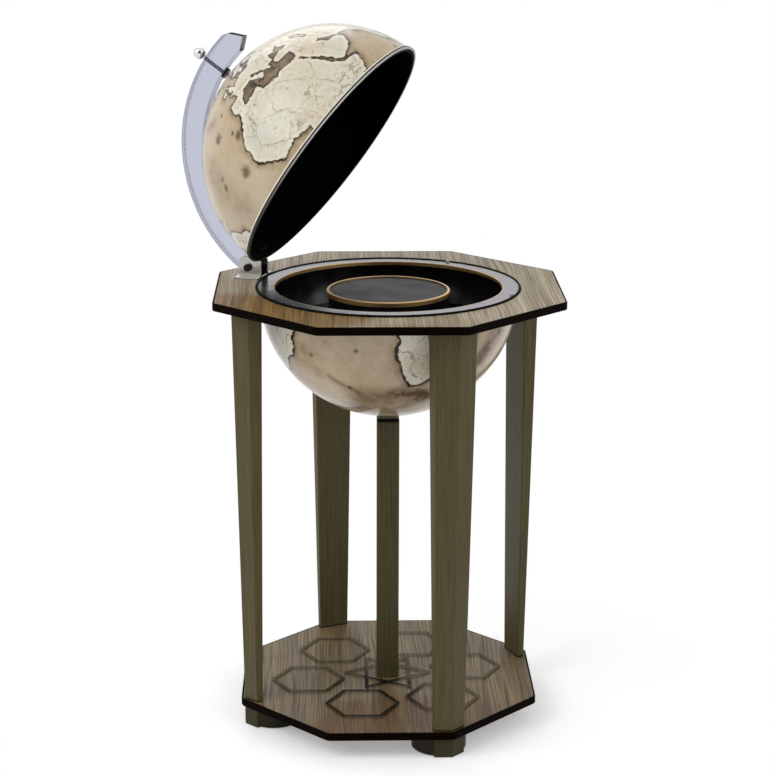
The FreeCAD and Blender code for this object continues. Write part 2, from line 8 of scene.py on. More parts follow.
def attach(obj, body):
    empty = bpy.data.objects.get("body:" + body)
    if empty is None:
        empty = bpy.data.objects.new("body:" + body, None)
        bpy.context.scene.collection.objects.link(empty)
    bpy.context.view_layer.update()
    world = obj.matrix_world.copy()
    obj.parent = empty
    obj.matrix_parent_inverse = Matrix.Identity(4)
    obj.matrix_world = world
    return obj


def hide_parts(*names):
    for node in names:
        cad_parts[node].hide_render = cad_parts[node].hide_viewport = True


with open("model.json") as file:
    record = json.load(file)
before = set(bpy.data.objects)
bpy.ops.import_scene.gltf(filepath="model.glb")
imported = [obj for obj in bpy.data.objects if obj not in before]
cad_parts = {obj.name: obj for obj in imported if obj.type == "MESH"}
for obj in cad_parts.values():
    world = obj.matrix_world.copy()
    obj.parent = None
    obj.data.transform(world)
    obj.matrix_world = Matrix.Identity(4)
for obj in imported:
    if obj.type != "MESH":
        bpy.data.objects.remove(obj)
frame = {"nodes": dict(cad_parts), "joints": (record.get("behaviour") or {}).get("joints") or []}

scene = bpy.context.scene
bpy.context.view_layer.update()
print("frame loaded")


def colour(red, green, blue):
    # A colour given in 0 to 255 steps, as the linear numbers that sockets take.
    steps = [red / 255, green / 255, blue / 255]
    linear = [s / 12.92 if s <= 0.04045 else ((s + 0.055) / 1.055) ** 2.4 for s in steps]
    return (*linear, 1.0)


def darker(shade, share):
    return (*[channel * share for channel in colour(*shade)[:3]], 1)


def addNode(tree, kind, values=None, **options):
    # One shader node, with its options set and its sockets set or linked.
    made = tree.nodes.new(kind)
    for option, value in options.items():
        setattr(made, option, value)
    for socket, value in (values or {}).items():
        if isinstance(value, bpy.types.NodeSocket):
            tree.links.new(value, made.inputs[socket])
        else:
            made.inputs[socket].default_value = value
    return made


def calculate(tree, operation, first, second=0.0, clamp=False):
    made = addNode(tree, "ShaderNodeMath", {0: first, 1: second}, operation=operation, use_clamp=clamp)
    return made.outputs[0]


def times(tree, first, second):
    return calculate(tree, "MULTIPLY", first, second)


def measure(tree, operation, place, other=(0, 0, 0)):
    # One number from two vectors: how far apart they are, their dot product, or the length of the first.
    return addNode(tree, "ShaderNodeVectorMath", {0: place, 1: other}, operation=operation).outputs["Value"]


def fade(tree, value, low, high, start=0.0, end=1.0):
    # Runs smoothly from start to end as value goes from low to high.
    made = addNode(tree, "ShaderNodeMapRange", {0: value, 1: low, 2: high, 3: start, 4: end},
                   interpolation_type="SMOOTHSTEP")
    return made.outputs[0]


def mixColours(tree, share, first, second, blend="MIX"):
    made = addNode(tree, "ShaderNodeMix", {0: share, 6: first, 7: second}, data_type="RGBA", blend_type=blend)
    return made.outputs[2]


def layered(tree, shades, base, *layers):
    # Lays named shades over a base one after another, each by its own share.
    base = colour(*shades[base]) if isinstance(base, str) else base
    for share, shade in layers:
        base = mixColours(tree, share, base, colour(*shades[shade]))
    return base


def noise(tree, place, scale=1.0, detail=3.0, roughness=0.55, distortion=0.0):
    made = addNode(tree, "ShaderNodeTexNoise", {"Vector": place, "Scale": scale, "Detail": detail,
                                                "Roughness": roughness, "Distortion": distortion})
    return made.outputs["Fac"]


def objectPlace(tree, stretch=(1, 1, 1), turn=(0, 0, 0), shift=(0, 0, 0)):
    # Object coordinates, moved, turned and stretched.
    source = addNode(tree, "ShaderNodeTexCoord").outputs["Object"]
    return addNode(tree, "ShaderNodeMapping",
                   {"Vector": source, "Location": shift, "Rotation": turn, "Scale": stretch}).outputs[0]


def objectHeight(tree):
    return addNode(tree, "ShaderNodeSeparateXYZ", {"Vector": objectPlace(tree)}).outputs["Z"]


def newMaterial(name, **sockets):
    # A material and its node tree, with the Principled shader's plain numbers and colours set.
    material = bpy.data.materials.new(name)
    material.use_nodes = True
    tree = material.node_tree
    for socket, value in sockets.items():
        tree.nodes["Principled BSDF"].inputs[socket.replace("_", " ")].default_value = value
    return material, tree


def paint(material, base=None, rough=None, height=None, strength=0.2, depth=0.0002):
    # Links what is given of a material's colour, roughness and bump. The bump's depth is in metres.
    tree = material.node_tree
    relief = None
    if height is not None:
        bump = addNode(tree, "ShaderNodeBump", {"Height": height, "Strength": strength, "Distance": depth})
        relief = bump.outputs[0]
    for socket, source in (("Base Color", base), ("Roughness", rough), ("Normal", relief)):
        if source is not None:
            tree.links.new(source, tree.nodes["Principled BSDF"].inputs[socket])
    return material


def finish(material, *nodeNames):
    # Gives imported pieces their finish.
    for name in nodeNames:
        for slot in frame["nodes"][name].material_slots:
            slot.material = material


def newObject(name, data):
    made = bpy.data.objects.new(name, data)
    scene.collection.objects.link(made)
    return made


def newMesh(name, points, faces, material, smooth=True):
    # An object from an array of points and an array of faces.
    mesh = bpy.data.meshes.new(name)
    mesh.from_pydata(points.tolist(), [], faces.tolist())
    mesh.update()
    mesh.shade_smooth() if smooth else mesh.shade_flat()
    mesh.materials.append(material)
    return newObject(name, mesh)


def newPiece(name, points, faces, material, body, smooth=True):
    # A piece of the part, riding on a body.
    piece = newMesh(name, points, faces, material, smooth)
    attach(piece, body)
    return piece


def closedGrid(rows, columns):
    # Quads of a grid of points, row by row, that closes both ways: each row is a ring, and the last row joins
    # the first. They face out where the rows climb on the outside.
    row, column = np.meshgrid(np.arange(rows), np.arange(columns), indexing="ij")
    above, after = (row + 1) % rows, (column + 1) % columns
    corners = [(row, column), (row, after), (above, after), (above, column)]
    return np.stack([columns * y + x for y, x in corners], axis=-1).reshape(-1, 4)


cameraSettings = {"place": (-0.0824, -3.2269, 1.4139), "lookDown": 15.447, "turnRight": 1.461, "roll": 0.15,
                  "lens": 99.75, "sensor": 36.0}


def makeCamera(settings):
    data = bpy.data.cameras.new("camera")
    data.lens, data.sensor_width = settings["lens"], settings["sensor"]
    camera = newObject("camera", data)
    turn = Matrix.Rotation(math.radians(-settings["turnRight"]), 4, "Z")
    turn = turn @ Matrix.Rotation(math.radians(90.0 - settings["lookDown"]), 4, "X")
    turn = turn @ Matrix.Rotation(math.radians(settings["roll"]), 4, "Z")
    camera.matrix_world = Matrix.Translation(settings["place"]) @ turn
    scene.camera = camera


lightSettings = {
    "ambient": 0.6,
    "lamps": {
        "keyLamp": {"place": (-2.6, -1.7, 3.0), "size": 2.2, "watts": 58.0},
        "fillLamp": {"place": (2.4, -1.4, 1.9), "size": 2.0, "watts": 15.0},
        "backLamp": {"place": (-0.6, 2.4, 2.8), "size": 1.8, "watts": 16.0},
    },
    "aim": (0.0, 0.0, 0.6),
    "darkSide": {"towards": (-0.02, -0.97, 0.24), "from": 0.8, "to": 0.93, "level": 0.04},
}


def seenShare(tree):
    # 1 for the rays that show the surroundings: seen directly, in gloss or through glass.
    path = addNode(tree, "ShaderNodeLightPath")
    seen = calculate(tree, "MAXIMUM", path.outputs["Is Camera Ray"], path.outputs["Is Glossy Ray"])
    return calculate(tree, "MAXIMUM", seen, path.outputs["Is Transmission Ray"])


def darkShare(tree, settings):
    # 1 for glossy rays that run to the dark side of the room.
    path = addNode(tree, "ShaderNodeLightPath")
    direction = addNode(tree, "ShaderNodeTexCoord").outputs["Generated"]
    facing = measure(tree, "DOT_PRODUCT", direction, settings["towards"])
    return times(tree, path.outputs["Is Glossy Ray"], fade(tree, facing, settings["from"], settings["to"]))


def makeLight(settings):
    # An even white room with one dark side, and three soft square lamps aimed at the object.
    world = bpy.data.worlds.new("surroundings")
    world.use_nodes = True
    scene.world = world
    tree = world.node_tree
    side = settings["darkSide"]
    strength = settings["ambient"]
    for share, level in ((seenShare(tree), 1.0), (darkShare(tree, side), side["level"])):
        mixed = addNode(tree, "ShaderNodeMix", {0: share, 2: strength, 3: level}, data_type="FLOAT")
        strength = mixed.outputs[0]
    backdrop = tree.nodes["Background"]
    backdrop.inputs["Color"].default_value = (1, 1, 1, 1)
    tree.links.new(strength, backdrop.inputs["Strength"])
    for name, lamp in settings["lamps"].items():
        data = bpy.data.lights.new(name, "AREA")
        data.size, data.energy = lamp["size"], lamp["watts"]
        light = newObject(name, data)
        aim = (Vector(settings["aim"]) - Vector(lamp["place"])).to_track_quat("-Z", "Y")
        light.matrix_world = Matrix.Translation(lamp["place"]) @ aim.to_matrix().to_4x4()


floorSettings = {"reach": 40.0, "shade": (238, 238, 238), "roughness": 0.9, "lift": 0.3, "plainFrom": 0.3,
                 "plainTo": 0.62}


def makeFloor(settings):
    # A pale floor that keeps the shadow near the object and turns plain white further out.
    material, tree = newMaterial("floorPaper", Base_Color=colour(*settings["shade"]),
                                 Roughness=settings["roughness"])
    far = fade(tree, measure(tree, "LENGTH", objectPlace(tree)), settings["plainFrom"], settings["plainTo"])
    seen = seenShare(tree)
    lift = addNode(tree, "ShaderNodeEmission", {"Strength": times(tree, seen, settings["lift"])})
    plain = addNode(tree, "ShaderNodeEmission", {"Strength": 1.0})
    paper = tree.nodes["Principled BSDF"]
    lit = addNode(tree, "ShaderNodeAddShader", {0: paper.outputs[0], 1: lift.outputs[0]})
    share = times(tree, seen, far)
    shown = addNode(tree, "ShaderNodeMixShader", {0: share, 1: lit.outputs[0], 2: plain.outputs[0]})
    tree.links.new(shown.outputs[0], tree.nodes["Material Output"].inputs["Surface"])
    corners = settings["reach"] * np.array([(-1, -1, 0), (1, -1, 0), (1, 1, 0), (-1, 1, 0)])
    floor = newMesh("floor", corners, np.arange(4)[None], material, smooth=False)


makeCamera(cameraSettings)
makeLight(lightSettings)
makeFloor(floorSettings)
scene.view_settings.view_transform = "Standard"
print("camera, light and floor made")


veneerSettings = {
    "tableVeneer": {"light": (179, 165, 138), "dark": (121, 107, 81), "tint": (210, 182, 135),
                    "streak": 0.0021, "run": 0.28, "wave": 0.016, "figure": 0.4, "pore": 0.4,
                    "roughness": 0.5, "warm": (-0.12, -0.215, 0.684), "warmFrom": 0.36, "warmTo": 0.49},
    "shelfVeneer": {"light": (131, 114, 84), "dark": (74, 59, 39), "tint": (222, 196, 160),
                    "streak": 0.0019, "run": 0.2, "wave": 0.014, "figure": 0.42, "pore": 0.5,
                    "roughness": 0.46, "warm": (-0.08, -0.24, 0.046), "warmFrom": 0.33, "warmTo": 0.46},
}


def makeVeneer(name, settings):
    # Open-grained veneer: fine streaks and broad figure along Y, short dark pores, slow changes of tone, and
    # a warmer part round one place.
    material, tree = newMaterial(name, Coat_Weight=0.05, Coat_Roughness=0.3, Specular_IOR_Level=0.22)
    across, along = 1 / settings["streak"], 1 / settings["run"]
    place = objectPlace(tree)
    waver = noise(tree, objectPlace(tree, (9, 5, 9)), 1.0, 2.0)
    lean = times(tree, calculate(tree, "SUBTRACT", waver, 0.5), settings["wave"])
    shift = addNode(tree, "ShaderNodeCombineXYZ", {"X": lean})
    bent = addNode(tree, "ShaderNodeVectorMath", {0: place, 1: shift.outputs[0]}, operation="ADD").outputs[0]

    def stretched(x, y):
        return addNode(tree, "ShaderNodeMapping", {"Vector": bent, "Scale": (x, y, x)}).outputs[0]

    streaks = noise(tree, stretched(across, along), 1.0, 4.0, 0.6)
    figure = noise(tree, stretched(across / 7, along / 2.5), 1.0, 3.0, 0.5, 0.6)
    pores = fade(tree, noise(tree, stretched(across * 1.7, along * 4), 1.0, 1.0), 0.6, 0.72)
    cloud = noise(tree, objectPlace(tree, (5, 3, 5)), 1.0, 2.0)
    tone = calculate(tree, "SUBTRACT", cloud, measure(tree, "DISTANCE", place, settings["warm"]))
    base = layered(tree, settings, "dark", (fade(tree, streaks, 0.36, 0.6), "light"),
                   (fade(tree, figure, 0.42, 0.68, 0.0, settings["figure"]), "dark"))
    base = mixColours(tree, fade(tree, tone, settings["warmFrom"], settings["warmTo"]), base,
                      colour(*settings["tint"]), "MULTIPLY")
    base = mixColours(tree, times(tree, pores, settings["pore"]), base, darker(settings["dark"], 0.35))
    rough = fade(tree, streaks, 0.2, 0.8, settings["roughness"] + 0.1, settings["roughness"] - 0.06)
    height = calculate(tree, "SUBTRACT", streaks, times(tree, pores, 0.8))
    return paint(material, base, rough, height, 0.35, 0.0004)


stainSettings = {
    "legWood": {"light": (92, 84, 55), "dark": (73, 67, 41), "roughness": 0.42, "shadedFrom": 0.04,
                "shadedTo": 0.0454},
    "columnWood": {"light": (82, 75, 48), "dark": (66, 61, 37), "roughness": 0.42, "shadedFrom": 0.4708,
                   "shadedTo": 0.48},
    "shoeWood": {"light": (60, 55, 31), "dark": (46, 42, 22), "roughness": 0.44},
    "footWood": {"light": (38, 34, 14), "dark": (26, 23, 8), "roughness": 0.44},
    "capWood": {"light": (116, 104, 80), "dark": (92, 82, 60), "roughness": 0.42, "shadedFrom": 0.47,
                "shadedTo": 0.4766},
}
# Near-black painted shade where the legs meet the shelf and where the column meets its cap.
jointShadeInk = (9, 8, 5)


def makeStain(name, settings):
    # Stained hardwood under satin lacquer: faint upright grain, slow cloudiness, small pores, and a
    # near-black band between two heights where a part meets another, painted shade along the joint.
    material, tree = newMaterial(name, Coat_Weight=0.04, Coat_Roughness=0.3, Specular_IOR_Level=0.14)
    grain = noise(tree, objectPlace(tree, (420, 420, 9)), 1.0, 4.0, 0.6)
    cloud = noise(tree, objectPlace(tree, (7, 7, 2.4)), 1.0, 2.0)
    pores = fade(tree, noise(tree, objectPlace(tree, (900, 900, 38)), 1.0, 1.0), 0.62, 0.74)
    base = layered(tree, settings, "dark", (fade(tree, grain, 0.3, 0.7), "light"),
                   (fade(tree, cloud, 0.35, 0.7, 0.0, 0.5), "dark"))
    base = mixColours(tree, times(tree, pores, 0.25), base, darker(settings["dark"], 0.5))
    # The band is painted shade where the part meets another.
    if "shadedTo" in settings:
        height = objectHeight(tree)
        jointShade = times(tree, calculate(tree, "GREATER_THAN", height, settings["shadedFrom"]),
                      calculate(tree, "LESS_THAN", height, settings["shadedTo"]))
        base = mixColours(tree, jointShade, base, colour(*jointShadeInk))
    rough = fade(tree, cloud, 0.3, 0.7, settings["roughness"], settings["roughness"] + 0.08)
    return paint(material, base, rough, calculate(tree, "SUBTRACT", grain, pores), 0.2, 0.0003)


lippingSettings = {"dark": (5, 1, 0), "light": (13, 6, 2), "rub": (12, 6, 3), "shine": 0.02}


def makeLipping(settings):
    # Near-black brown lipping, with a little red in the grain and soft rub marks on its arris.
    material, tree = newMaterial("edgeLipping", Specular_IOR_Level=settings["shine"])
    grain = noise(tree, objectPlace(tree, (60, 60, 900)), 1.0, 4.0, 0.6)
    cloud = noise(tree, objectPlace(tree), 26.0)
    base = layered(tree, settings, "dark", (fade(tree, grain, 0.35, 0.7), "light"),
                   (fade(tree, cloud, 0.5, 0.8, 0.0, 0.5), "rub"))
    return paint(material, base, fade(tree, cloud, 0.3, 0.8, 0.52, 0.64), grain, 0.15)


dowelSettings = {"light": (206, 176, 134), "dark": (170, 134, 92), "roughness": 0.6}


def makeDowelWood(settings):
    # Bare beech, pale with small flecks.
    material, tree = newMaterial("dowelWood", Roughness=settings["roughness"])
    flecks = noise(tree, objectPlace(tree, (500, 500, 30)))
    return paint(material, layered(tree, settings, "light", (fade(tree, flecks, 0.4, 0.7), "dark")))


def nodesNamed(*starts):
    return [name for name in frame["nodes"] if name.startswith(starts)]


stained = {"legWood": nodesNamed("leg_front", "leg_back"), "shoeWood": nodesNamed("foot_shoe"),
           "footWood": nodesNamed("foot_drum"), "columnWood": ["column"], "capWood": ["column_cap"]}
for woodName, woodNodes in stained.items():
    finish(makeStain(woodName, stainSettings[woodName]), *woodNodes)
finish(makeVeneer("tableVeneer", veneerSettings["tableVeneer"]), "top_board")
finish(makeVeneer("shelfVeneer", veneerSettings["shelfVeneer"]), "shelf_board")
finish(makeLipping(lippingSettings), "top_edge_band", "shelf_edge_band")
finish(makeDowelWood(dowelSettings), "leg_dowels")
print("wood finished")


lidHinge = next(joint for joint in frame["joints"] if joint["name"] == "lid_hinge")


def openLid(points):
    # Closed places to open ones: turned back about the hinge by the lid's whole travel.
    pivot, travel = Vector(lidHinge["pos_m"]), math.radians(lidHinge["range_deg"][1])
    turn = np.array(Matrix.Rotation(-travel, 3, Vector(lidHinge["axis"])))
    return (points - np.array(pivot)) @ turn.T + np.array(pivot)


def lidPlace(tree, settings):
    # Height above the lid's edge and distance from the middle of its mouth, both for the open lid.
    middle, above = openLid(np.array([settings["mouth"], (0, 0, settings["mouth"][2] + 1)]))
    place = objectPlace(tree)
    along = measure(tree, "DOT_PRODUCT", place, tuple(above - middle))
    edge = float((above - middle) @ middle)
    return calculate(tree, "SUBTRACT", along, edge), measure(tree, "DISTANCE", place, tuple(middle))


metalSettings = {
    "chrome": {"base": (220, 220, 222), "roughness": 0.05, "smudge": 0.06},
    "polishedRing": {"base": (120, 117, 120), "roughness": 0.18, "smudge": 0.12},
    "giltTrim": {"base": (196, 160, 108), "roughness": 0.38, "smudge": 0.05},
    "hingeSteel": {"base": (178, 176, 172), "roughness": 0.12, "smudge": 0.14},
    "zincPlate": {"base": (176, 178, 176), "roughness": 0.34, "smudge": 0.15},
    "blackNutAndScrewShade": {"base": (30, 30, 30), "roughness": 0.4, "smudge": 0.1},
}


def makeMetal(name, settings):
    # Plated or polished metal: an even base, faint smudges in its gloss, hairline marks.
    material, tree = newMaterial(name, Metallic=1.0, Base_Color=colour(*settings["base"]))
    smudge = noise(tree, objectPlace(tree), 60.0, 4.0, 0.6)
    hairs = noise(tree, objectPlace(tree, (900, 60, 900), (0.3, 0.2, 0.6)), 1.0, 2.0)
    rough = fade(tree, smudge, 0.35, 0.75, settings["roughness"], settings["roughness"] + settings["smudge"])
    return paint(material, None, rough, hairs, 0.04, 0.0001)


plasticSettings = {
    "blackTray": {"base": (9, 9, 10), "roughness": 0.14, "speck": 0.1, "grit": 0.02, "shine": 0.35},
    "blackPedestal": {"base": (9, 9, 10), "roughness": 0.42, "speck": 0.1, "grit": 0.15, "shine": 0.1},
    "blackCap": {"base": (6, 8, 5), "roughness": 0.24, "speck": 0.1, "grit": 0.04, "shine": 0.2},
    "blackRubber": {"base": (6, 6, 6), "roughness": 0.66, "speck": 0.12, "grit": 0.25, "shine": 0.08},
    "clearRubber": {"base": (168, 168, 171), "roughness": 0.4, "speck": 0.1, "grit": 0.05, "shine": 0.3},
    "footRubber": {"base": (26, 25, 24), "roughness": 0.75, "speck": 0.1, "grit": 0.3, "shine": 0.3},
    "markInk": {"base": (112, 114, 132), "roughness": 0.5, "speck": 0.1, "grit": 0.0, "shine": 0.3},
}


def makePlastic(name, settings):
    # Moulded plastic or rubber: an even base with dust-fine specks and a slightly uneven gloss.
    material, tree = newMaterial(name, Specular_IOR_Level=settings["shine"])
    base = colour(*settings["base"])
    lighter = (*[min(1.0, channel * 1.6 + 0.002) for channel in base[:3]], 1)
    cloud = noise(tree, objectPlace(tree), 22.0)
    grit = noise(tree, objectPlace(tree), 900.0, 2.0)
    rough = fade(tree, cloud, 0.3, 0.8, settings["roughness"], settings["roughness"] + settings["speck"])
    return paint(material, mixColours(tree, fade(tree, cloud, 0.4, 0.8), base, lighter), rough, grit,
                 settings["grit"])


# Colours of the lid's edge: painted highlights along it, painted shade in the hoop's groove, the black inside
# and real grime.
lidSettings = {"mouth": (0.0, 0.0, 0.688), "flange": 0.0017, "edgeFrom": 0.199, "grooveFrom": 0.0018,
               "grooveTo": 0.0042, "dimTo": 0.8, "highlightFrom": 0.98, "edgeHighlight": (192, 190, 187),
               "dimHighlight": (70, 68, 64), "grooveShade": (34, 30, 23), "creamHighlight": (232, 226, 210), "grime": (90, 80, 66),
               "black": (0, 0, 0), "softBlack": (2, 2, 2)}


def paintedEdgeHighlight(tree, settings):
    # A painted highlight along the edge, dimmer towards the hinge.
    share = fade(tree, objectHeight(tree), settings["dimTo"], settings["highlightFrom"])
    return layered(tree, settings, "dimHighlight", (share, "edgeHighlight"))


def makeLiner(settings):
    # Matt black inside the lid, with a painted highlight along its flange's edge.
    material, tree = newMaterial("lidLiner", Specular_IOR_Level=0.02)
    height, away = lidPlace(tree, settings)
    grit = noise(tree, objectPlace(tree), 900.0, 2.0)
    cloud = noise(tree, objectPlace(tree), 22.0)
    flange = times(tree, calculate(tree, "LESS_THAN", height, settings["flange"]),
                   calculate(tree, "GREATER_THAN", away, settings["edgeFrom"]))
    black = layered(tree, settings, "black", (cloud, "softBlack"))
    return paint(material, mixColours(tree, flange, black, paintedEdgeHighlight(tree, settings)),
                 fade(tree, cloud, 0.3, 0.8, 0.68, 0.78), grit)


def makeHoop(settings):
    # The lid's hoop: a painted cream highlight above its groove, painted shade in the groove, and a painted
    # pale grey highlight below.
    material, tree = newMaterial("lidHoop", Specular_IOR_Level=0.35)
    height = lidPlace(tree, settings)[0]
    smudge = noise(tree, objectPlace(tree), 60.0, 4.0, 0.6)
    base = layered(tree, settings, paintedEdgeHighlight(tree, settings),
                   (calculate(tree, "GREATER_THAN", height, settings["grooveFrom"]), "grooveShade"),
                   (calculate(tree, "GREATER_THAN", height, settings["grooveTo"]), "creamHighlight"),
                   (fade(tree, smudge, 0.5, 0.8, 0.0, 0.1), "grime"))
    return paint(material, base, fade(tree, smudge, 0.35, 0.75, 0.3, 0.42))


materials = {name: makeMetal(name, settings) for name, settings in metalSettings.items()}
materials.update({name: makePlastic(name, settings) for name, settings in plasticSettings.items()})
materials.update({"lidHoop": makeHoop(lidSettings), "lidLiner": makeLiner(lidSettings)})
finishes = {
    "chrome": ["hinge_screws", "hinge_pin", "clamp_screws", "ball_knob"],
    "hingeSteel": ["hinge_base", "hinge_knuckle"],
    "polishedRing": ["bowl_ring"],
    "giltTrim": ["ring_lip", "pedestal_trim"],
    # The rim screws are zinc; their black is painted shade, for they sit in the lid's dark inside.
    "blackNutAndScrewShade": ["rim_screws", "pole_nut"],
    "zincPlate": ["pole_pin", "leg_screws", "column_bolt", "column_washer", "bowl_bolt", "bowl_washer"],
    "lidHoop": ["dome_rim"],
    "lidLiner": ["dome_liner"],
    "blackTray": ["glass_tray"],
    "blackPedestal": ["pedestal"],
    "blackCap": ["hinge_pin_caps", "pole_spacer"],
    # The column's gasket is black rubber, and its black also stands for the shade at the top of the column.
    "blackRubber": ["column_gasket"],
    "clearRubber": ["lid_bumpers"],
    "footRubber": ["floor_pads"],
}
for finishName, finishNodes in finishes.items():
    finish(materials[finishName], *finishNodes)


def makeBead(name, profile, columns, material):
    # A ring turned about the globe's axis: each profile point (r, z) becomes (r cos a, r sin a, z).
    azimuth = np.linspace(0, 2 * math.pi, columns, endpoint=False)
    radius, height = np.array(profile).T
    points = np.stack([np.outer(radius, np.cos(azimuth)), np.outer(radius, np.sin(azimuth)),
                       np.outer(height, np.ones(columns))], axis=-1).reshape(-1, 3)
    return newPiece(name, points, closedGrid(len(profile), columns), material, "table")


gasketSettings = {"outer": 0.2032, "inner": 0.2005, "foot": 0.6798, "shoulder": 0.6856, "columns": 240}
beadRadius = (gasketSettings["outer"] - gasketSettings["inner"]) / 2
# The gasket's lip: up the outside, over a rounded top and down inside, against the ring.
gasketRound = [(gasketSettings["inner"] + beadRadius * (1 + math.cos(a)),
                gasketSettings["shoulder"] + beadRadius * math.sin(a)) for a in np.linspace(0, math.pi, 13)]
gasketProfile = [(gasketSettings["outer"], gasketSettings["foot"]), *gasketRound,
                 (gasketSettings["inner"], gasketSettings["foot"])]
gasket = makeBead("gasketBead", gasketProfile, gasketSettings["columns"], materials["blackRubber"])
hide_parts("ring_gasket")


meridianSettings = {"centre": (0.0, 0.0, 0.6986), "inner": 0.2035, "outer": 0.24, "thickness": 0.018,
                    "azimuth": 159.5, "clear": (190, 193, 209), "edge": (122, 124, 144), "edgeShadeWidth": 0.0026,
                    "endTop": (-0.05535, 0.928), "endFoot": (-0.0659, 0.9055), "endMargin": 0.0003,
                    "markFrom": 14.0, "markTo": 96.0, "markStep": 2.0, "markLength": 0.003,
                    "markWidth": 0.0005, "markMargin": 0.0035, "longMark": 5, "markLift": 0.00003,
                    "endLift": 0.00005}


def makeAcrylic(settings):
    # Clear acrylic with a faint lilac cast, and painted shade in a darker band along its polished edges.
    material, tree = newMaterial("clearAcrylic", Transmission_Weight=1.0, IOR=1.49)
    middle = openLid(np.array([settings["centre"]]))[0]
    away = measure(tree, "DISTANCE", objectPlace(tree), tuple(middle))
    width = settings["edgeShadeWidth"]
    outside = fade(tree, away, settings["outer"] - width, settings["outer"] - width / 2)
    inside = fade(tree, away, settings["inner"] + width / 3, settings["inner"] + width)
    edge = calculate(tree, "MAXIMUM", outside, calculate(tree, "SUBTRACT", 1.0, inside))
    # The edge colour is painted shade.
    clear = layered(tree, settings, "clear", (times(tree, edge, 0.8), "edge"))
    scuffs = noise(tree, objectPlace(tree, (300, 300, 40), (0.4, 0.1, 0.2)))
    return paint(material, clear, fade(tree, scuffs, 0.5, 0.8, 0.02, 0.1))


def barDirections(settings):
    # Away from the globe's axis in the bar's plane, and square to that plane.
    azimuth = math.radians(settings["azimuth"])
    return (np.array([math.cos(azimuth), math.sin(azimuth), 0.0]),
            np.array([-math.sin(azimuth), math.cos(azimuth), 0.0]))


def makeMarks(settings, material):
    # Graduations: short lines across the bar's outer margin on its front face, every few degrees. A mark lies
    # at centre + radius * (cos h, sin h) in the bar's plane, for the angle h of the mark.
    outwards, forwards = barDirections(settings)
    angles = np.arange(settings["markFrom"], settings["markTo"], settings["markStep"])
    height = np.radians(angles)[:, None]
    radial = outwards * np.cos(height) + np.array([0, 0, 1]) * np.sin(height)
    across = np.cross(forwards, radial) * settings["markWidth"] / 2
    far = settings["outer"] - settings["markMargin"]
    long = np.where(np.arange(len(angles)) % settings["longMark"] == 0, 2, 1)[:, None]
    near = far - settings["markLength"] * long
    front = np.array(settings["centre"]) + forwards * (settings["thickness"] / 2 + settings["markLift"])
    points = np.stack([radial * near - across, radial * far - across, radial * far + across,
                       radial * near + across], axis=1).reshape(-1, 3) + front
    faces = np.arange(len(points)).reshape(-1, 4)
    return newPiece("meridianMarks", openLid(points), faces, material, "lid", smooth=False)


def makeEndQuad(settings, material):
    # A black quad on the flat end of the bar's grip, a hair proud of it.
    outwards, forwards = barDirections(settings)
    sideways = forwards * (settings["thickness"] / 2 - settings["endMargin"])
    top, foot = (outwards * settings[end][0] + np.array([0, 0, settings[end][1]])
                 for end in ("endTop", "endFoot"))
    normal = np.cross(top - foot, sideways)
    lift = normal / np.linalg.norm(normal) * settings["endLift"]
    corners = np.array([top - sideways, top + sideways, foot + sideways, foot - sideways]) + lift
    return newPiece("meridianEnd", openLid(corners), np.arange(4)[None], material, "lid",
                    smooth=False)


finish(makeAcrylic(meridianSettings), "meridian")
makeEndQuad(meridianSettings, materials["blackRubber"])
makeMarks(meridianSettings, materials["markInk"])
print("metal, plastic and acrylic finished")


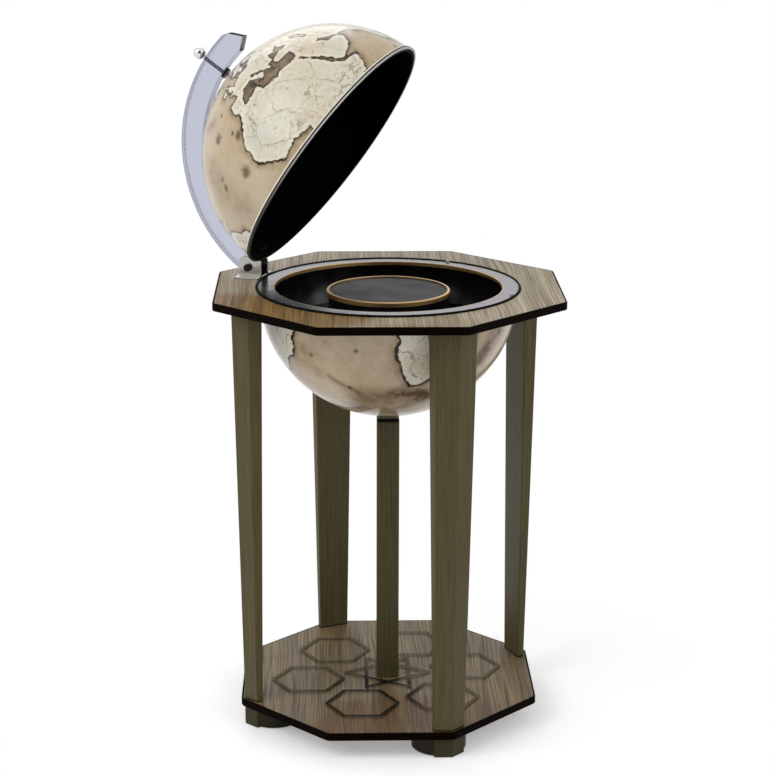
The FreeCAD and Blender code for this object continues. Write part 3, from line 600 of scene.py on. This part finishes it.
# Outlines of a world map in degrees: the longitude and latitude of one corner after another.
coasts = {
    "africa": [-6, 35.8, 0, 36, 10, 37.3, 11, 33.5, 15, 32.3, 20, 31, 23, 32.7, 29, 31, 33, 31.2, 34, 27.5,
        37, 22, 39, 16, 43, 11.7, 51.2, 11.8, 48, 5, 44, 1.5, 40.5, -3, 39, -7, 40.7, -15, 35, -20,
        35.4, -24, 32.7, -27.5, 30, -31.3, 26, -33.8, 20, -34.8, 18.3, -33, 16, -28, 14.5, -22.5, 12, -17,
        13.7, -11, 12.2, -5.5, 9, -1, 9.6, 4, 6, 4.3, 1, 6, -4, 5.2, -8, 4.4, -13, 8.5, -16.8, 12.5,
        -17.3, 14.8, -16.2, 19, -17, 21.5, -13, 27.8, -9.7, 30.5, -9, 32.5],
    "eurasia": [-5.5, 36, -9, 37, -9.4, 39, -8.8, 43.2, -1.7, 43.4, -1.2, 46, -4.7, 48.4, -1.5, 49.5, 2, 51,
        4.5, 53, 8.3, 53.8, 8.2, 57, 10.5, 57.6, 10, 55, 14, 54.2, 18.8, 54.5, 21, 57, 24, 57.2, 23.5, 59.3,
        30, 59.8, 22.5, 60.2, 21.4, 63, 25.3, 65.2, 22, 65.8, 17.3, 61, 18.7, 60, 16.5, 57, 14.2, 55.5,
        12.8, 55.6, 11, 59, 7, 58, 5, 60.5, 10.5, 64, 15, 68, 21, 70, 28, 71, 33, 69.3, 41, 67.5,
        34.5, 66.5, 38, 64, 44, 66, 46, 68, 60, 69, 68, 68.5, 67, 72, 73, 71.5, 80, 73, 100, 76.5, 113, 74,
        130, 71, 150, 71.5, 170, 69.5, 180, 69, 190, 66, 180, 65, 179, 62.5, 170, 60, 163, 58, 162, 56,
        157, 51.5, 155.8, 56, 163, 61.5, 155, 59, 142, 59.3, 135.5, 54.7, 141, 52.5, 140, 48, 132, 43.2,
        128, 39.8, 129.3, 35.5, 126.5, 34.5, 125, 38, 121.5, 40.5, 118, 39, 122, 37, 119.5, 35, 121.8, 31,
        119.5, 26, 114, 22.5, 108.5, 21.6, 106, 19, 109, 12, 105, 9, 103, 11, 100.5, 13.3, 99.3, 10,
        103.5, 1.5, 100.5, 5, 98.3, 8, 97.5, 16.5, 94.5, 16, 91.8, 22.3, 87, 21, 80.2, 15.5, 79.8, 10.5,
        77.5, 8, 74.5, 14, 72.7, 20, 69, 22.3, 66.7, 25, 57.5, 25.5, 50.5, 29.7, 48, 30, 51.5, 25.5, 56, 26,
        59.8, 22.5, 55, 17.5, 45, 12.8, 43, 14, 39, 21, 35, 28, 32, 30.2, 34.3, 31.3, 36, 36.5, 31, 36.5,
        27.3, 37, 26.3, 39.5, 29, 41, 35, 42, 41.5, 41.6, 37.5, 45, 39, 47, 35, 46.3, 33.5, 44.5, 31, 46.6,
        28.5, 43.5, 28, 41.2, 24, 40.7, 23.3, 38.2, 22.7, 36.5, 19.5, 41.5, 13.8, 45.6, 12.4, 44.3,
        16, 41.8, 18.4, 40, 16.6, 38.2, 15.8, 38, 12.3, 41.8, 10, 44, 6.5, 43.2, 3.2, 43, 0, 40, -0.5, 38,
        -2, 36.8],
    "britain": [-5, 50.2, 1.3, 51.2, 0.5, 53, -2, 55.8, -3, 58.6, -5.5, 57.5, -4, 54, -4.7, 52.8, -5, 51.8,
        -3, 51.3],
    "ireland": [-6.3, 52.3, -6, 54.5, -8, 55.3, -10, 53.8, -9.8, 51.7],
    "iceland": [-22.5, 64, -14, 65, -16.5, 66.4, -22.5, 66.3],
    "greenland": [-44, 60, -40, 65, -22, 70.2, -19, 75, -20, 80, -33, 83.4, -60, 82, -71, 78, -58, 75.3,
        -54, 70, -52, 65],
    "madagascar": [49.3, -12, 50.2, -15.8, 47.2, -25, 44, -25, 44.3, -20, 44.5, -16.3],
    "southAmerica": [-77.5, 8.5, -71.5, 12, -62, 10.7, -57, 6, -51, 4.3, -50, 0, -44, -2.5, -37, -5,
        -34.9, -8, -39, -13.5, -39.3, -18, -41.5, -22.3, -48.5, -26, -53.3, -33.5, -58.3, -34.3,
        -57.5, -38.2, -62, -39, -65, -42.8, -67.5, -46.3, -69, -51.5, -66, -55, -71.5, -53.8, -75.3, -50,
        -73.5, -41, -71.5, -30, -70.3, -18.3, -76.3, -13.8, -81.2, -5.5, -80.2, 0, -77.5, 4],
    "northAmerica": [-77, 8.5, -83, 10, -83.4, 15, -88, 16, -87, 21.3, -90.5, 21, -94, 18.2, -97.5, 22.5,
        -97, 28, -90, 29.5, -84, 30, -82.7, 27.5, -80.3, 25.3, -81.3, 31, -76, 35, -74, 40.3, -70, 42,
        -66.5, 44.5, -61, 45.5, -64.5, 48.5, -60, 50.3, -56, 52.2, -61.5, 57, -64.8, 60.3, -70, 61.5,
        -78, 62.3, -78.5, 58.5, -76.5, 56, -79, 52, -82.3, 55, -93, 58.8, -94, 61.5, -87, 64.5, -82, 67.5,
        -88, 70, -96, 69, -110, 68, -125, 70, -141, 69.7, -156.5, 71.3, -166, 68.5, -162, 66, -168, 65.6,
        -161, 63.8, -165.5, 61.5, -162, 58.7, -157.5, 58.7, -162.5, 55.3, -151, 59.5, -144, 60, -136, 58.5,
        -130, 54.5, -124.5, 48.4, -124.2, 43, -122.5, 37.5, -117.2, 32.5, -112, 26, -109.8, 23, -113, 31,
        -109, 26.5, -105.3, 20.5, -96, 15.7, -87.5, 12.9, -85.5, 10, -79, 7.3],
    "baffin": [-64, 62.8, -62, 66.5, -68, 70.3, -80, 73.7, -89, 72.5, -80, 70, -73, 67.5, -77, 64.7,
        -70, 62.8],
    "ellesmere": [-90, 76.5, -78, 77, -64, 81.8, -75, 83, -92, 81],
    "victoria": [-101, 68, -117, 69, -117, 73, -105, 73],
    "cuba": [-84.8, 21.9, -80, 23, -74.3, 20.2, -77.5, 19.9],
    "hispaniola": [-74.3, 18.4, -71, 19.8, -68.5, 18.6],
    "australia": [114, -22, 122, -18, 126, -14, 130.5, -12, 136.5, -12, 135.5, -15, 140.5, -17.5,
        142.3, -10.8, 146, -19, 153, -25.5, 153, -31, 150, -37.5, 144, -38.6, 138, -35.5, 131.5, -31.5,
        124, -33.2, 118, -35, 115.2, -34, 113.5, -26],
    "newGuinea": [131, -1, 138, -1.7, 147.5, -6, 150.5, -10.5, 143, -9, 138, -8.3, 133, -4],
    "borneo": [109, 1.5, 113, 3.2, 117, 7, 119, 5, 117.5, 1, 116, -4, 110.3, -3],
    "sumatra": [95.3, 5.6, 99, 3.5, 103.7, -1, 106, -5.8, 102.3, -4, 98.5, 1.8],
    "java": [105.3, -6.6, 110.8, -6.5, 114.5, -8.5, 108, -7.8],
    "sulawesi": [119, -3, 121, 1, 124.8, 1.2, 121.5, -2, 122.5, -5, 119.6, -5.5],
    "philippines": [120.3, 16, 122, 18.4, 124, 13, 126.3, 7.5, 122, 7, 123, 10.5],
    "japan": [130, 31.3, 131.8, 34, 136, 35.7, 140, 38.5, 141.5, 41.3, 140.7, 43, 142, 45.3, 145.2, 43.5,
        141.8, 39.8, 140.7, 35.7, 135.8, 33.6],
    "sakhalin": [142, 46.2, 143.5, 49.5, 143, 54.2, 142, 52],
    "ceylon": [79.8, 8.5, 81.8, 7.5, 80.3, 6],
    "sicily": [12.5, 38, 15.5, 38.2, 15, 36.8],
    "sardinia": [8.3, 40.8, 9.7, 40.8, 9.5, 39.2, 8.5, 39],
    "northZealand": [172.8, -34.5, 178.3, -37.8, 175.3, -41.5, 173.8, -39.3],
    "southZealand": [172.7, -40.6, 174, -42, 170.7, -45.9, 168.3, -46.5, 166.6, -45.8],
    "svalbard": [13, 79, 27, 80, 17, 76.8],
    "novaya": [52, 71, 57, 75.5, 68, 76.8, 58, 71.5],
    "antarctica": [-180, -78, -160, -77.5, -130, -74.5, -100, -73, -75, -73, -67, -68, -57, -63.4, -62, -70,
        -60, -75, -35, -78, -20, -73, 0, -70, 30, -69.5, 55, -66.5, 80, -68, 100, -66, 135, -66.3,
        165, -70.5, 165, -77],
}
inlandSeas = {
    "caspian": [50, 46, 53, 45, 53.5, 40, 53.8, 37.2, 50, 37.5, 49.3, 40.5, 47.7, 43.5],
    "lakeVictoria": [32, 0.5, 34, -0.5, 33.3, -2.3, 31.8, -2],
}
enclosedSeas = {
    "mediterranean": [-5.4, 36, -2, 34, 9, 36, 9.5, 32, 20, 29.5, 32, 30, 37, 31, 37, 37.5, 27, 38,
        27, 41.2, 22, 41, 20, 43, 13, 47, 7, 45, 2, 44, -1, 40],
    "blackSea": [27, 41, 42, 40.5, 42, 48, 28, 48],
    "baltic": [9, 53.5, 24, 53.5, 31, 59, 31, 61, 26, 66, 17, 66, 16, 60, 9, 58],
    "redSea": [32, 30.5, 36, 30.5, 46, 13, 42, 10.5],
    "persianGulf": [47, 31, 52, 31, 57.5, 27, 57, 24, 50, 24],
}
# Small islands and shoals: the longitude, latitude and size of one after another, in degrees.
islands = [-27, 38.8, 2.2, -24.4, 16, 2.6, -15.5, 29.4, 1.9, -17, 32.8, 1, -40.5, 21.5, 1.6, -39, 25, 1.2,
           -17.5, 46, 0.9, -14.4, -8, 0.9, -5.7, -16, 1, -29.3, -20.5, 1.2, -12, -37, 1.2,
           -36.8, -54.3, 1.7, -59, -51.7, 2, 26.5, -41, 3.2, 37.8, -46.8, 1.2, 51.7, -46.4, 1.3,
           69.5, -49.3, 2.2, 57.6, -20.3, 1.3, 55.5, -21.1, 1.1, 55.4, -4.6, 1.1, 73.2, 3.2, 1.3,
           72.4, -7.3, 1, 93, 12, 1.2, -64.8, 32.3, 1, -77.3, 18.1, 1.3, -66.4, 18.2, 1.2, -61, 14.5, 1.1,
           -90.8, -0.6, 1.5, -109.4, -27.1, 1, -155.6, 19.6, 1.9, -159.5, 22, 1.1, -149.5, -17.6, 1.3,
           -140, -9, 1.3, -172, -13.7, 1.2, 178, -17.8, 1.8, 167.5, -16, 1.6, 165.3, -21.3, 1.7,
           160, -9, 1.9, 151.5, 7.4, 1.2, 171, 7, 1.2, 145, 15, 1.1, 134.5, 7.5, 1.1, -171, 52.5, 1.4,
           177, 52, 1.3, -10.5, 71, 1.2, -7, 62, 1.1]
# Soft brown washes in the sea: two ends (longitude, latitude), reach in degrees, and strength. The two washes
# east and south-east of Madagascar are also painted shade on the bowl's right side.
washesAndShade = [(-14, -54, 28, -57, 9.0, 0.6), (-6, -43, 32, -45, 11.0, 0.65), (13, -40, 29, -42, 6.5, 0.95),
          (-22, -31, -9, -40, 2.6, 0.5), (-10, -15, 5, -24, 26.0, 0.18), (58, -25, 64, -13, 10.0, 1.0),
          (52, -30, 60, -38, 12.0, 0.6), (-46, 34, -40, 6, 12.0, 0.3), (-128, 12, -118, 10, 6.0, 0.5),
          (-152, -32, -140, -36, 8.0, 0.5), (80, -28, 96, -32, 8.0, 0.4), (160, 38, 172, 40, 7.0, 0.5),
          (-36, 52, -28, 50, 5.0, 0.4)]
# Reaches are in degrees of arc from a coast, and shares run from 0 to 1.
mapSettings = {"domeTurn": 96.3, "bowlTurn": 100.0, "longestSide": 6.0, "farthest": 9.0, "islandReach": 3.0,
               "ragged": 4.4, "halo": 4.5, "haloShare": 0.85, "shore": 1.7, "shoreShare": 0.8,
               "enclosedShare": 0.9, "borderScale": 23.0, "borderWarp": 0.042, "reliefShare": 0.8,
               "glintShare": 0.5, "rimShare": 0.6, "lineShift": 0.2}


def onGlobe(longitude, latitude, turn):
    # Unit vectors of places given in degrees, with the printed map turned on the globe as it stands.
    azimuth, height = np.radians(longitude - turn), np.radians(latitude)
    return np.stack([np.cos(height) * np.cos(azimuth), np.cos(height) * np.sin(azimuth), np.sin(height)],
                    axis=-1)


def finerOutline(outline):
    # The outline with long sides divided, so that they follow the globe.
    corners = np.array(outline, float).reshape(-1, 2)
    pieces = []
    for start, end in zip(corners, np.roll(corners, -1, axis=0)):
        steps = int(np.ceil(np.abs(end - start).max() / mapSettings["longestSide"]))
        pieces.append(start + (end - start) * (np.arange(steps) / steps)[:, None])
    return np.concatenate(pieces)


def signedDistance(unit, outline, turn):
    # How far each place is from an outline, in degrees of arc and positive inside. The distance is to the
    # nearest point of any side. A place is inside when the bearings of the corners turn once round it.
    corners = finerOutline(outline)
    ends = onGlobe(corners[:, 0], corners[:, 1], turn)
    nearest, turned = np.full(len(unit), np.inf), np.zeros(len(unit))
    for start, end in zip(ends, np.roll(ends, -1, axis=0)):
        side = end - start
        share = np.clip((unit - start) @ side / (side @ side), 0, 1)
        gap = unit - (start + share[:, None] * side)
        nearest = np.minimum(nearest, np.einsum("ij,ij->i", gap, gap))
        first = start - unit * (unit @ start)[:, None]
        second = end - unit * (unit @ end)[:, None]
        cross = np.einsum("ij,ij->i", unit, np.cross(first, second))
        turned += np.arctan2(cross, np.einsum("ij,ij->i", first, second))
    inside = (np.abs(turned) > math.pi) & (unit @ ends.mean(axis=0) > 0)
    return np.degrees(np.sqrt(nearest)) * np.where(inside, 1, -1)


def bestDistance(unit, turn, outlines):
    # The largest of the distances to several outlines, kept within what the print needs.
    best = np.max([signedDistance(unit, outline, turn) for outline in outlines.values()], axis=0)
    return np.clip(best, -mapSettings["farthest"], mapSettings["farthest"])


def landDistance(unit, turn):
    # Positive on land: inside a coast and outside the inland seas.
    return np.minimum(bestDistance(unit, turn, coasts), -bestDistance(unit, turn, inlandSeas))


def enclosedDistance(unit, turn):
    # Positive in a sea that land nearly closes in.
    return bestDistance(unit, turn, enclosedSeas)


def islandDistance(unit, turn):
    # 0 at the middle of the nearest island and 1 at its edge.
    longitude, latitude, size = np.array(islands).reshape(-1, 3).T
    away = np.degrees(np.arccos(np.clip(unit @ onGlobe(longitude, latitude, turn).T, -1, 1)))
    return np.minimum((away / size).min(axis=1), mapSettings["islandReach"])


def washAndShadeShare(unit, turn):
    # How brown the washes leave each place: every wash takes its share of what the others leave.
    left = np.ones(len(unit))
    for *places, reach, strength in washesAndShade:
        start, end = onGlobe(np.array(places[::2]), np.array(places[1::2]), turn)
        side = end - start
        share = np.clip((unit - start) @ side / (side @ side), 0, 1)
        away = np.degrees(np.linalg.norm(unit - start - share[:, None] * side, axis=1)) / reach
        depth = np.clip(1 - away, 0, 1)
        left *= 1 - strength * depth * depth * (3 - 2 * depth)
    return 1 - left


globeSettings = {"centre": (0.0, 0.0, 0.684), "lift": 0.004, "radius": 0.19995, "inner": 0.1965,
                 "columns": 560, "rows": 128, "innerRows": 10, "domeRim": 0.0016, "domeHole": 0.0028,
                 "bowlRim": 0.0047, "bowlHole": 0.0042, "sharpFrom": 40}


def globeHalf(name, settings, material, upper):
    # Half of the globe as a closed shell. A point is centre + radius * (cos h cos a, cos h sin a, sin h) for
    # an azimuth a and a height angle h that runs from the rim to the pole's hole, outside and back inside.
    half, body, sign = ("dome", "lid", 1) if upper else ("bowl", "table", -1)
    rim, hole, turn = settings[half + "Rim"], settings[half + "Hole"], mapSettings[half + "Turn"]
    columns, rows, innerRows = settings["columns"], settings["rows"], settings["innerRows"]
    azimuth = np.linspace(0, 2 * math.pi, columns, endpoint=False) * sign
    units = []
    for radius, count in ((settings["radius"], rows), (settings["inner"], innerRows)):
        height = np.linspace(math.asin(rim / radius), math.acos(hole / radius), count)
        if radius == settings["inner"]:
            height = height[::-1]
        units.append(np.stack([np.outer(np.cos(height), np.cos(azimuth)),
                               np.outer(np.cos(height), np.sin(azimuth)),
                               sign * np.outer(np.sin(height), np.ones(columns))], axis=-1).reshape(-1, 3))
    shown, hidden = units
    points = np.concatenate([settings["radius"] * shown, settings["inner"] * hidden]) + settings["centre"]
    if upper:
        points = openLid(points + np.array([0, 0, settings["lift"]]))
    piece = newPiece(name, points, closedGrid(rows + innerRows, columns), material, body)
    measures = {"coast": landDistance, "enclosed": enclosedDistance, "island": islandDistance,
                "washAndShade": washAndShadeShare}
    for label, measured in measures.items():
        # The unseen inside counts as land far from any sea.
        farthest = mapSettings["farthest"] * (-1 if label == "enclosed" else 1)
        values = np.full(len(points), farthest, np.float32)
        values[:len(shown)] = measured(shown, turn)
        piece.data.attributes.new(label, "FLOAT", "POINT").data.foreach_set("value", values)
    piece.data.set_sharp_from_angle(angle=math.radians(settings["sharpFrom"]))
    return piece


mapColours = {"landWarm": (212, 198, 172), "landCool": (203, 202, 186), "rim": (232, 225, 208),
              "sea": (186, 166, 136), "seaPale": (198, 182, 156), "seaBrown": (142, 118, 86),
              "seaDeep": (86, 68, 44), "washAndShade": (92, 62, 42), "relief": (146, 136, 110),
              "border": (164, 154, 128)}


def attributeValue(tree, name):
    return addNode(tree, "ShaderNodeAttribute", attribute_name=name).outputs["Fac"]


def mapSea(tree, tones, place, edge):
    # Tan sea, mottled and smudged, browner towards the coasts, in enclosed seas and round islands.
    values = mapSettings
    cloud = noise(tree, place, 9.0, 4.0, 0.55)
    smudge = noise(tree, objectPlace(tree, shift=(0.31, 0.17, 0.05)), 13.0, 4.0, 0.6)
    marks = noise(tree, objectPlace(tree, shift=(0.05, 0.4, 0.2)), 150.0, 3.0, 0.6)
    where = fade(tree, noise(tree, objectPlace(tree, shift=(0.2, 0.6, 0.1)), 20.0, 2.0), 0.6, 0.68)
    marks = times(tree, fade(tree, marks, 0.54, 0.62), where)
    patches = fade(tree, noise(tree, place, 24.0), 0.3, 0.62, 0.25, 1.0)
    halo = fade(tree, edge, -values["halo"], 0.0, 0.0, values["haloShare"])
    shore = fade(tree, edge, -values["shore"], -0.2, 0.0, values["shoreShare"])
    enclosed = fade(tree, attributeValue(tree, "enclosed"), -0.8, 0.8, 0.0, values["enclosedShare"])
    uneven = fade(tree, noise(tree, place, 70.0, 4.0, 0.6), 0.3, 0.62, 0.6, 1.0)
    wash = fade(tree, noise(tree, place, 34.0, 5.0, 0.6), 0.34, 0.62, 0.55, 1.25)
    # Brown washes, some of them painted shade on the bowl's right side.
    washAndShade = calculate(tree, "MULTIPLY", attributeValue(tree, "washAndShade"), wash, clamp=True)
    ripple = noise(tree, place, 60.0, 4.0, 0.65)
    island = calculate(tree, "ADD", attributeValue(tree, "island"),
                       fade(tree, noise(tree, place, 120.0), 0.3, 0.7, -0.35, 0.35))
    return layered(tree, tones, "sea", (fade(tree, cloud, 0.36, 0.62), "seaPale"),
                   (fade(tree, smudge, 0.6, 0.8, 0.0, 0.65), "seaBrown"),
                   (times(tree, marks, 0.4), "seaBrown"), (times(tree, halo, patches), "seaBrown"),
                   (times(tree, shore, patches), "seaDeep"), (times(tree, enclosed, uneven), "seaDeep"),
                   (washAndShade, "washAndShade"), (fade(tree, ripple, 0.5, 0.72, 0.0, 0.22), "seaBrown"),
                   (fade(tree, island, 0.25, 1.5, 0.85, 0.0), "seaDeep"))


def mapLand(tree, tones, place, edge):
    # Pale land with slow changes of tone, broken inland borders, scribbled relief and a lighter edge.
    values = mapSettings
    tint = noise(tree, place, 11.0, 4.0)
    warp = addNode(tree, "ShaderNodeTexNoise", {"Vector": place, "Scale": 26.0, "Detail": 5.0})
    warped = mixColours(tree, values["borderWarp"], place, warp.outputs["Color"])
    cells = addNode(tree, "ShaderNodeTexVoronoi", {"Vector": warped, "Scale": values["borderScale"]},
                    feature="DISTANCE_TO_EDGE")
    broken = fade(tree, noise(tree, place, 38.0, 2.0), 0.4, 0.54, 0.35, 0.9)
    border = times(tree, fade(tree, cells.outputs["Distance"], 0.008, 0.028, 1.0, 0.0), broken)
    flecks = noise(tree, objectPlace(tree, (1, 1, 0.6)), 170.0, 4.0, 0.7)
    where = noise(tree, objectPlace(tree, shift=(0.4, 0.1, 0.2)), 22.0)
    where = fade(tree, where, 0.42, 0.58, 0.18, 1.0)
    relief = times(tree, fade(tree, flecks, 0.53, 0.66), where)
    glints = times(tree, fade(tree, flecks, 0.47, 0.36), where)
    light = times(tree, fade(tree, edge, 0.2, 0.5), fade(tree, edge, 2.4, 1.0))
    return layered(tree, tones, "land", (fade(tree, tint, 0.44, 0.7, 0.0, 0.8), "landWarm"),
                   (fade(tree, tint, 0.46, 0.28, 0.0, 0.8), "landCool"), (border, "border"),
                   (times(tree, relief, values["reliefShare"]), "relief"),
                   (times(tree, glints, values["glintShare"]), "rim"),
                   (times(tree, light, values["rimShare"]), "rim"))


printSettings = {
    "domePrint": {"lineFrom": 0.2, "lineTo": 0.68, "margin": 0.0068, "land": (216, 211, 193),
                  "coast": (40, 26, 14)},
    # The bowl's land is paler than the dome's: painted light, for the lower half faces down into shade.
    "bowlPrintPaintedLight": {"lineFrom": 0.38, "lineTo": 1.05, "margin": 0.0, "land": (240, 236, 222),
                  "coast": (20, 10, 3)},
}


def makeMapPrint(name, settings, tones):
    # An old-style printed map: pale land and tan sea with a ragged dark line of varying width between them,
    # grain of the paper, and a satin varnish.
    material, tree = newMaterial(name, Specular_IOR_Level=0.05, Coat_Weight=0.9, Coat_IOR=1.3,
                                 Coat_Roughness=0.14)
    tones = {**tones, "land": settings["land"], "coast": settings["coast"]}
    place = objectPlace(tree)
    ragged = calculate(tree, "SUBTRACT", noise(tree, place, 95.0, 8.0, 0.7), 0.5)
    edge = calculate(tree, "ADD", attributeValue(tree, "coast"), times(tree, ragged, mapSettings["ragged"]))
    sea, land = mapSea(tree, tones, place, edge), mapLand(tree, tones, place, edge)
    printed = mixColours(tree, fade(tree, edge, -0.05, 0.15), sea, land)
    width = fade(tree, noise(tree, place, 46.0, 4.0), 0.38, 0.68, settings["lineFrom"], settings["lineTo"])
    fromLine = calculate(tree, "ABSOLUTE", calculate(tree, "ADD", edge, mapSettings["lineShift"]))
    line = fade(tree, calculate(tree, "DIVIDE", fromLine, width), 0.6, 1.15, 1.0, 0.0)
    printed = layered(tree, tones, printed, (line, "coast"))
    # The dome's print ends in a cream band along the rim, a painted highlight.
    if settings["margin"]:
        rim = calculate(tree, "LESS_THAN", lidPlace(tree, lidSettings)[0], settings["margin"])
        printed = layered(tree, lidSettings, printed, (rim, "creamHighlight"))
    paper = noise(tree, place, 420.0, 3.0, 0.6)
    printed = layered(tree, tones, printed, (fade(tree, paper, 0.35, 0.75, 0.0, 0.12), "seaBrown"))
    return paint(material, printed, fade(tree, paper, 0.3, 0.7, 0.44, 0.54),
                 calculate(tree, "ADD", paper, line), 0.08)


prints = {name: makeMapPrint(name, settings, mapColours) for name, settings in printSettings.items()}
dome = globeHalf("domeMap", globeSettings, prints["domePrint"], True)
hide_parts("dome_shell")
bowl = globeHalf("bowlMap", globeSettings, prints["bowlPrintPaintedLight"], False)
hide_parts("bowl_shell")
print("globe printed")


inlaySettings = {"height": 0.04606, "layer": 0.00001, "line": 0.0054, "hexagons": 6, "place": 0.129,
                 "size": 0.056, "turn": -109.0, "cornerTurn": -120.0, "starSize": 0.068,
                 "darkest": (-0.03, -0.11, 0.046), "darkTo": 0.075, "sheenFrom": 0.13, "dark": (17, 10, 4),
                 "paintedSheen": (96, 88, 67), "grain": (66, 53, 34)}


def inlayShapes(settings):
    # A generic interlaced pattern: a ring of hexagons round the column, and a six-pointed star inside it.
    corner = np.radians(60.0 * np.arange(6) + settings["cornerTurn"])
    hexagon = np.stack([np.cos(corner), np.sin(corner)], axis=-1)
    count = settings["hexagons"]
    middles = np.radians(360.0 / count * np.arange(count) + settings["turn"])
    shapes = [settings["place"] * np.array([math.cos(a), math.sin(a)]) + settings["size"] * hexagon
              for a in middles]
    return shapes + [settings["starSize"] * hexagon[::2], settings["starSize"] * hexagon[1::2]]


def makeInlay(settings, material):
    # Thin flat ribbons let into the veneer, each a closed shape with mitred corners: a corner moves along the
    # line that halves its angle, by half the ribbon's width over the cosine of half the turn.
    points, faces, start = [], [], 0
    for layer, shape in enumerate(inlayShapes(settings)):
        before, after = shape - np.roll(shape, 1, axis=0), np.roll(shape, -1, axis=0) - shape
        before = before / np.linalg.norm(before, axis=1)[:, None]
        after = after / np.linalg.norm(after, axis=1)[:, None]
        square = np.stack([before[:, 1], -before[:, 0]], axis=-1)
        outward = square + np.stack([after[:, 1], -after[:, 0]], axis=-1)
        outward = outward / np.einsum("ij,ij->i", outward, square)[:, None] * settings["line"] / 2
        count = len(shape)
        height = np.full((count, 1), settings["height"] + layer * settings["layer"])
        points += [np.hstack([shape + outward, height]), np.hstack([shape - outward, height])]
        # Only the grid's first row, from the outer outline to the inner one.
        faces.append(start + closedGrid(2, count)[:count])
        start += 2 * count
    return newPiece("shelfInlay", np.concatenate(points), np.concatenate(faces), material, "table",
                    smooth=False)


def makeInlayLine(settings):
    # Dark inlay near the front, paler and greyer green away from it: a painted sheen.
    material, tree = newMaterial("inlayLine", Specular_IOR_Level=0.05, Roughness=0.6)
    place = objectPlace(tree)
    away = measure(tree, "DISTANCE", place, settings["darkest"])
    grain = noise(tree, objectPlace(tree, (500, 12, 500)))
    far = calculate(tree, "ADD", away, fade(tree, noise(tree, place, 18.0), 0.3, 0.7, -0.02, 0.02))
    return paint(material, layered(
        tree, settings, "dark", (fade(tree, far, settings["darkTo"], settings["sheenFrom"]), "paintedSheen"),
        (fade(tree, grain, 0.4, 0.7, 0.0, 0.3), "grain")))


makeInlay(inlaySettings, makeInlayLine(inlaySettings))
print("shelf inlaid")
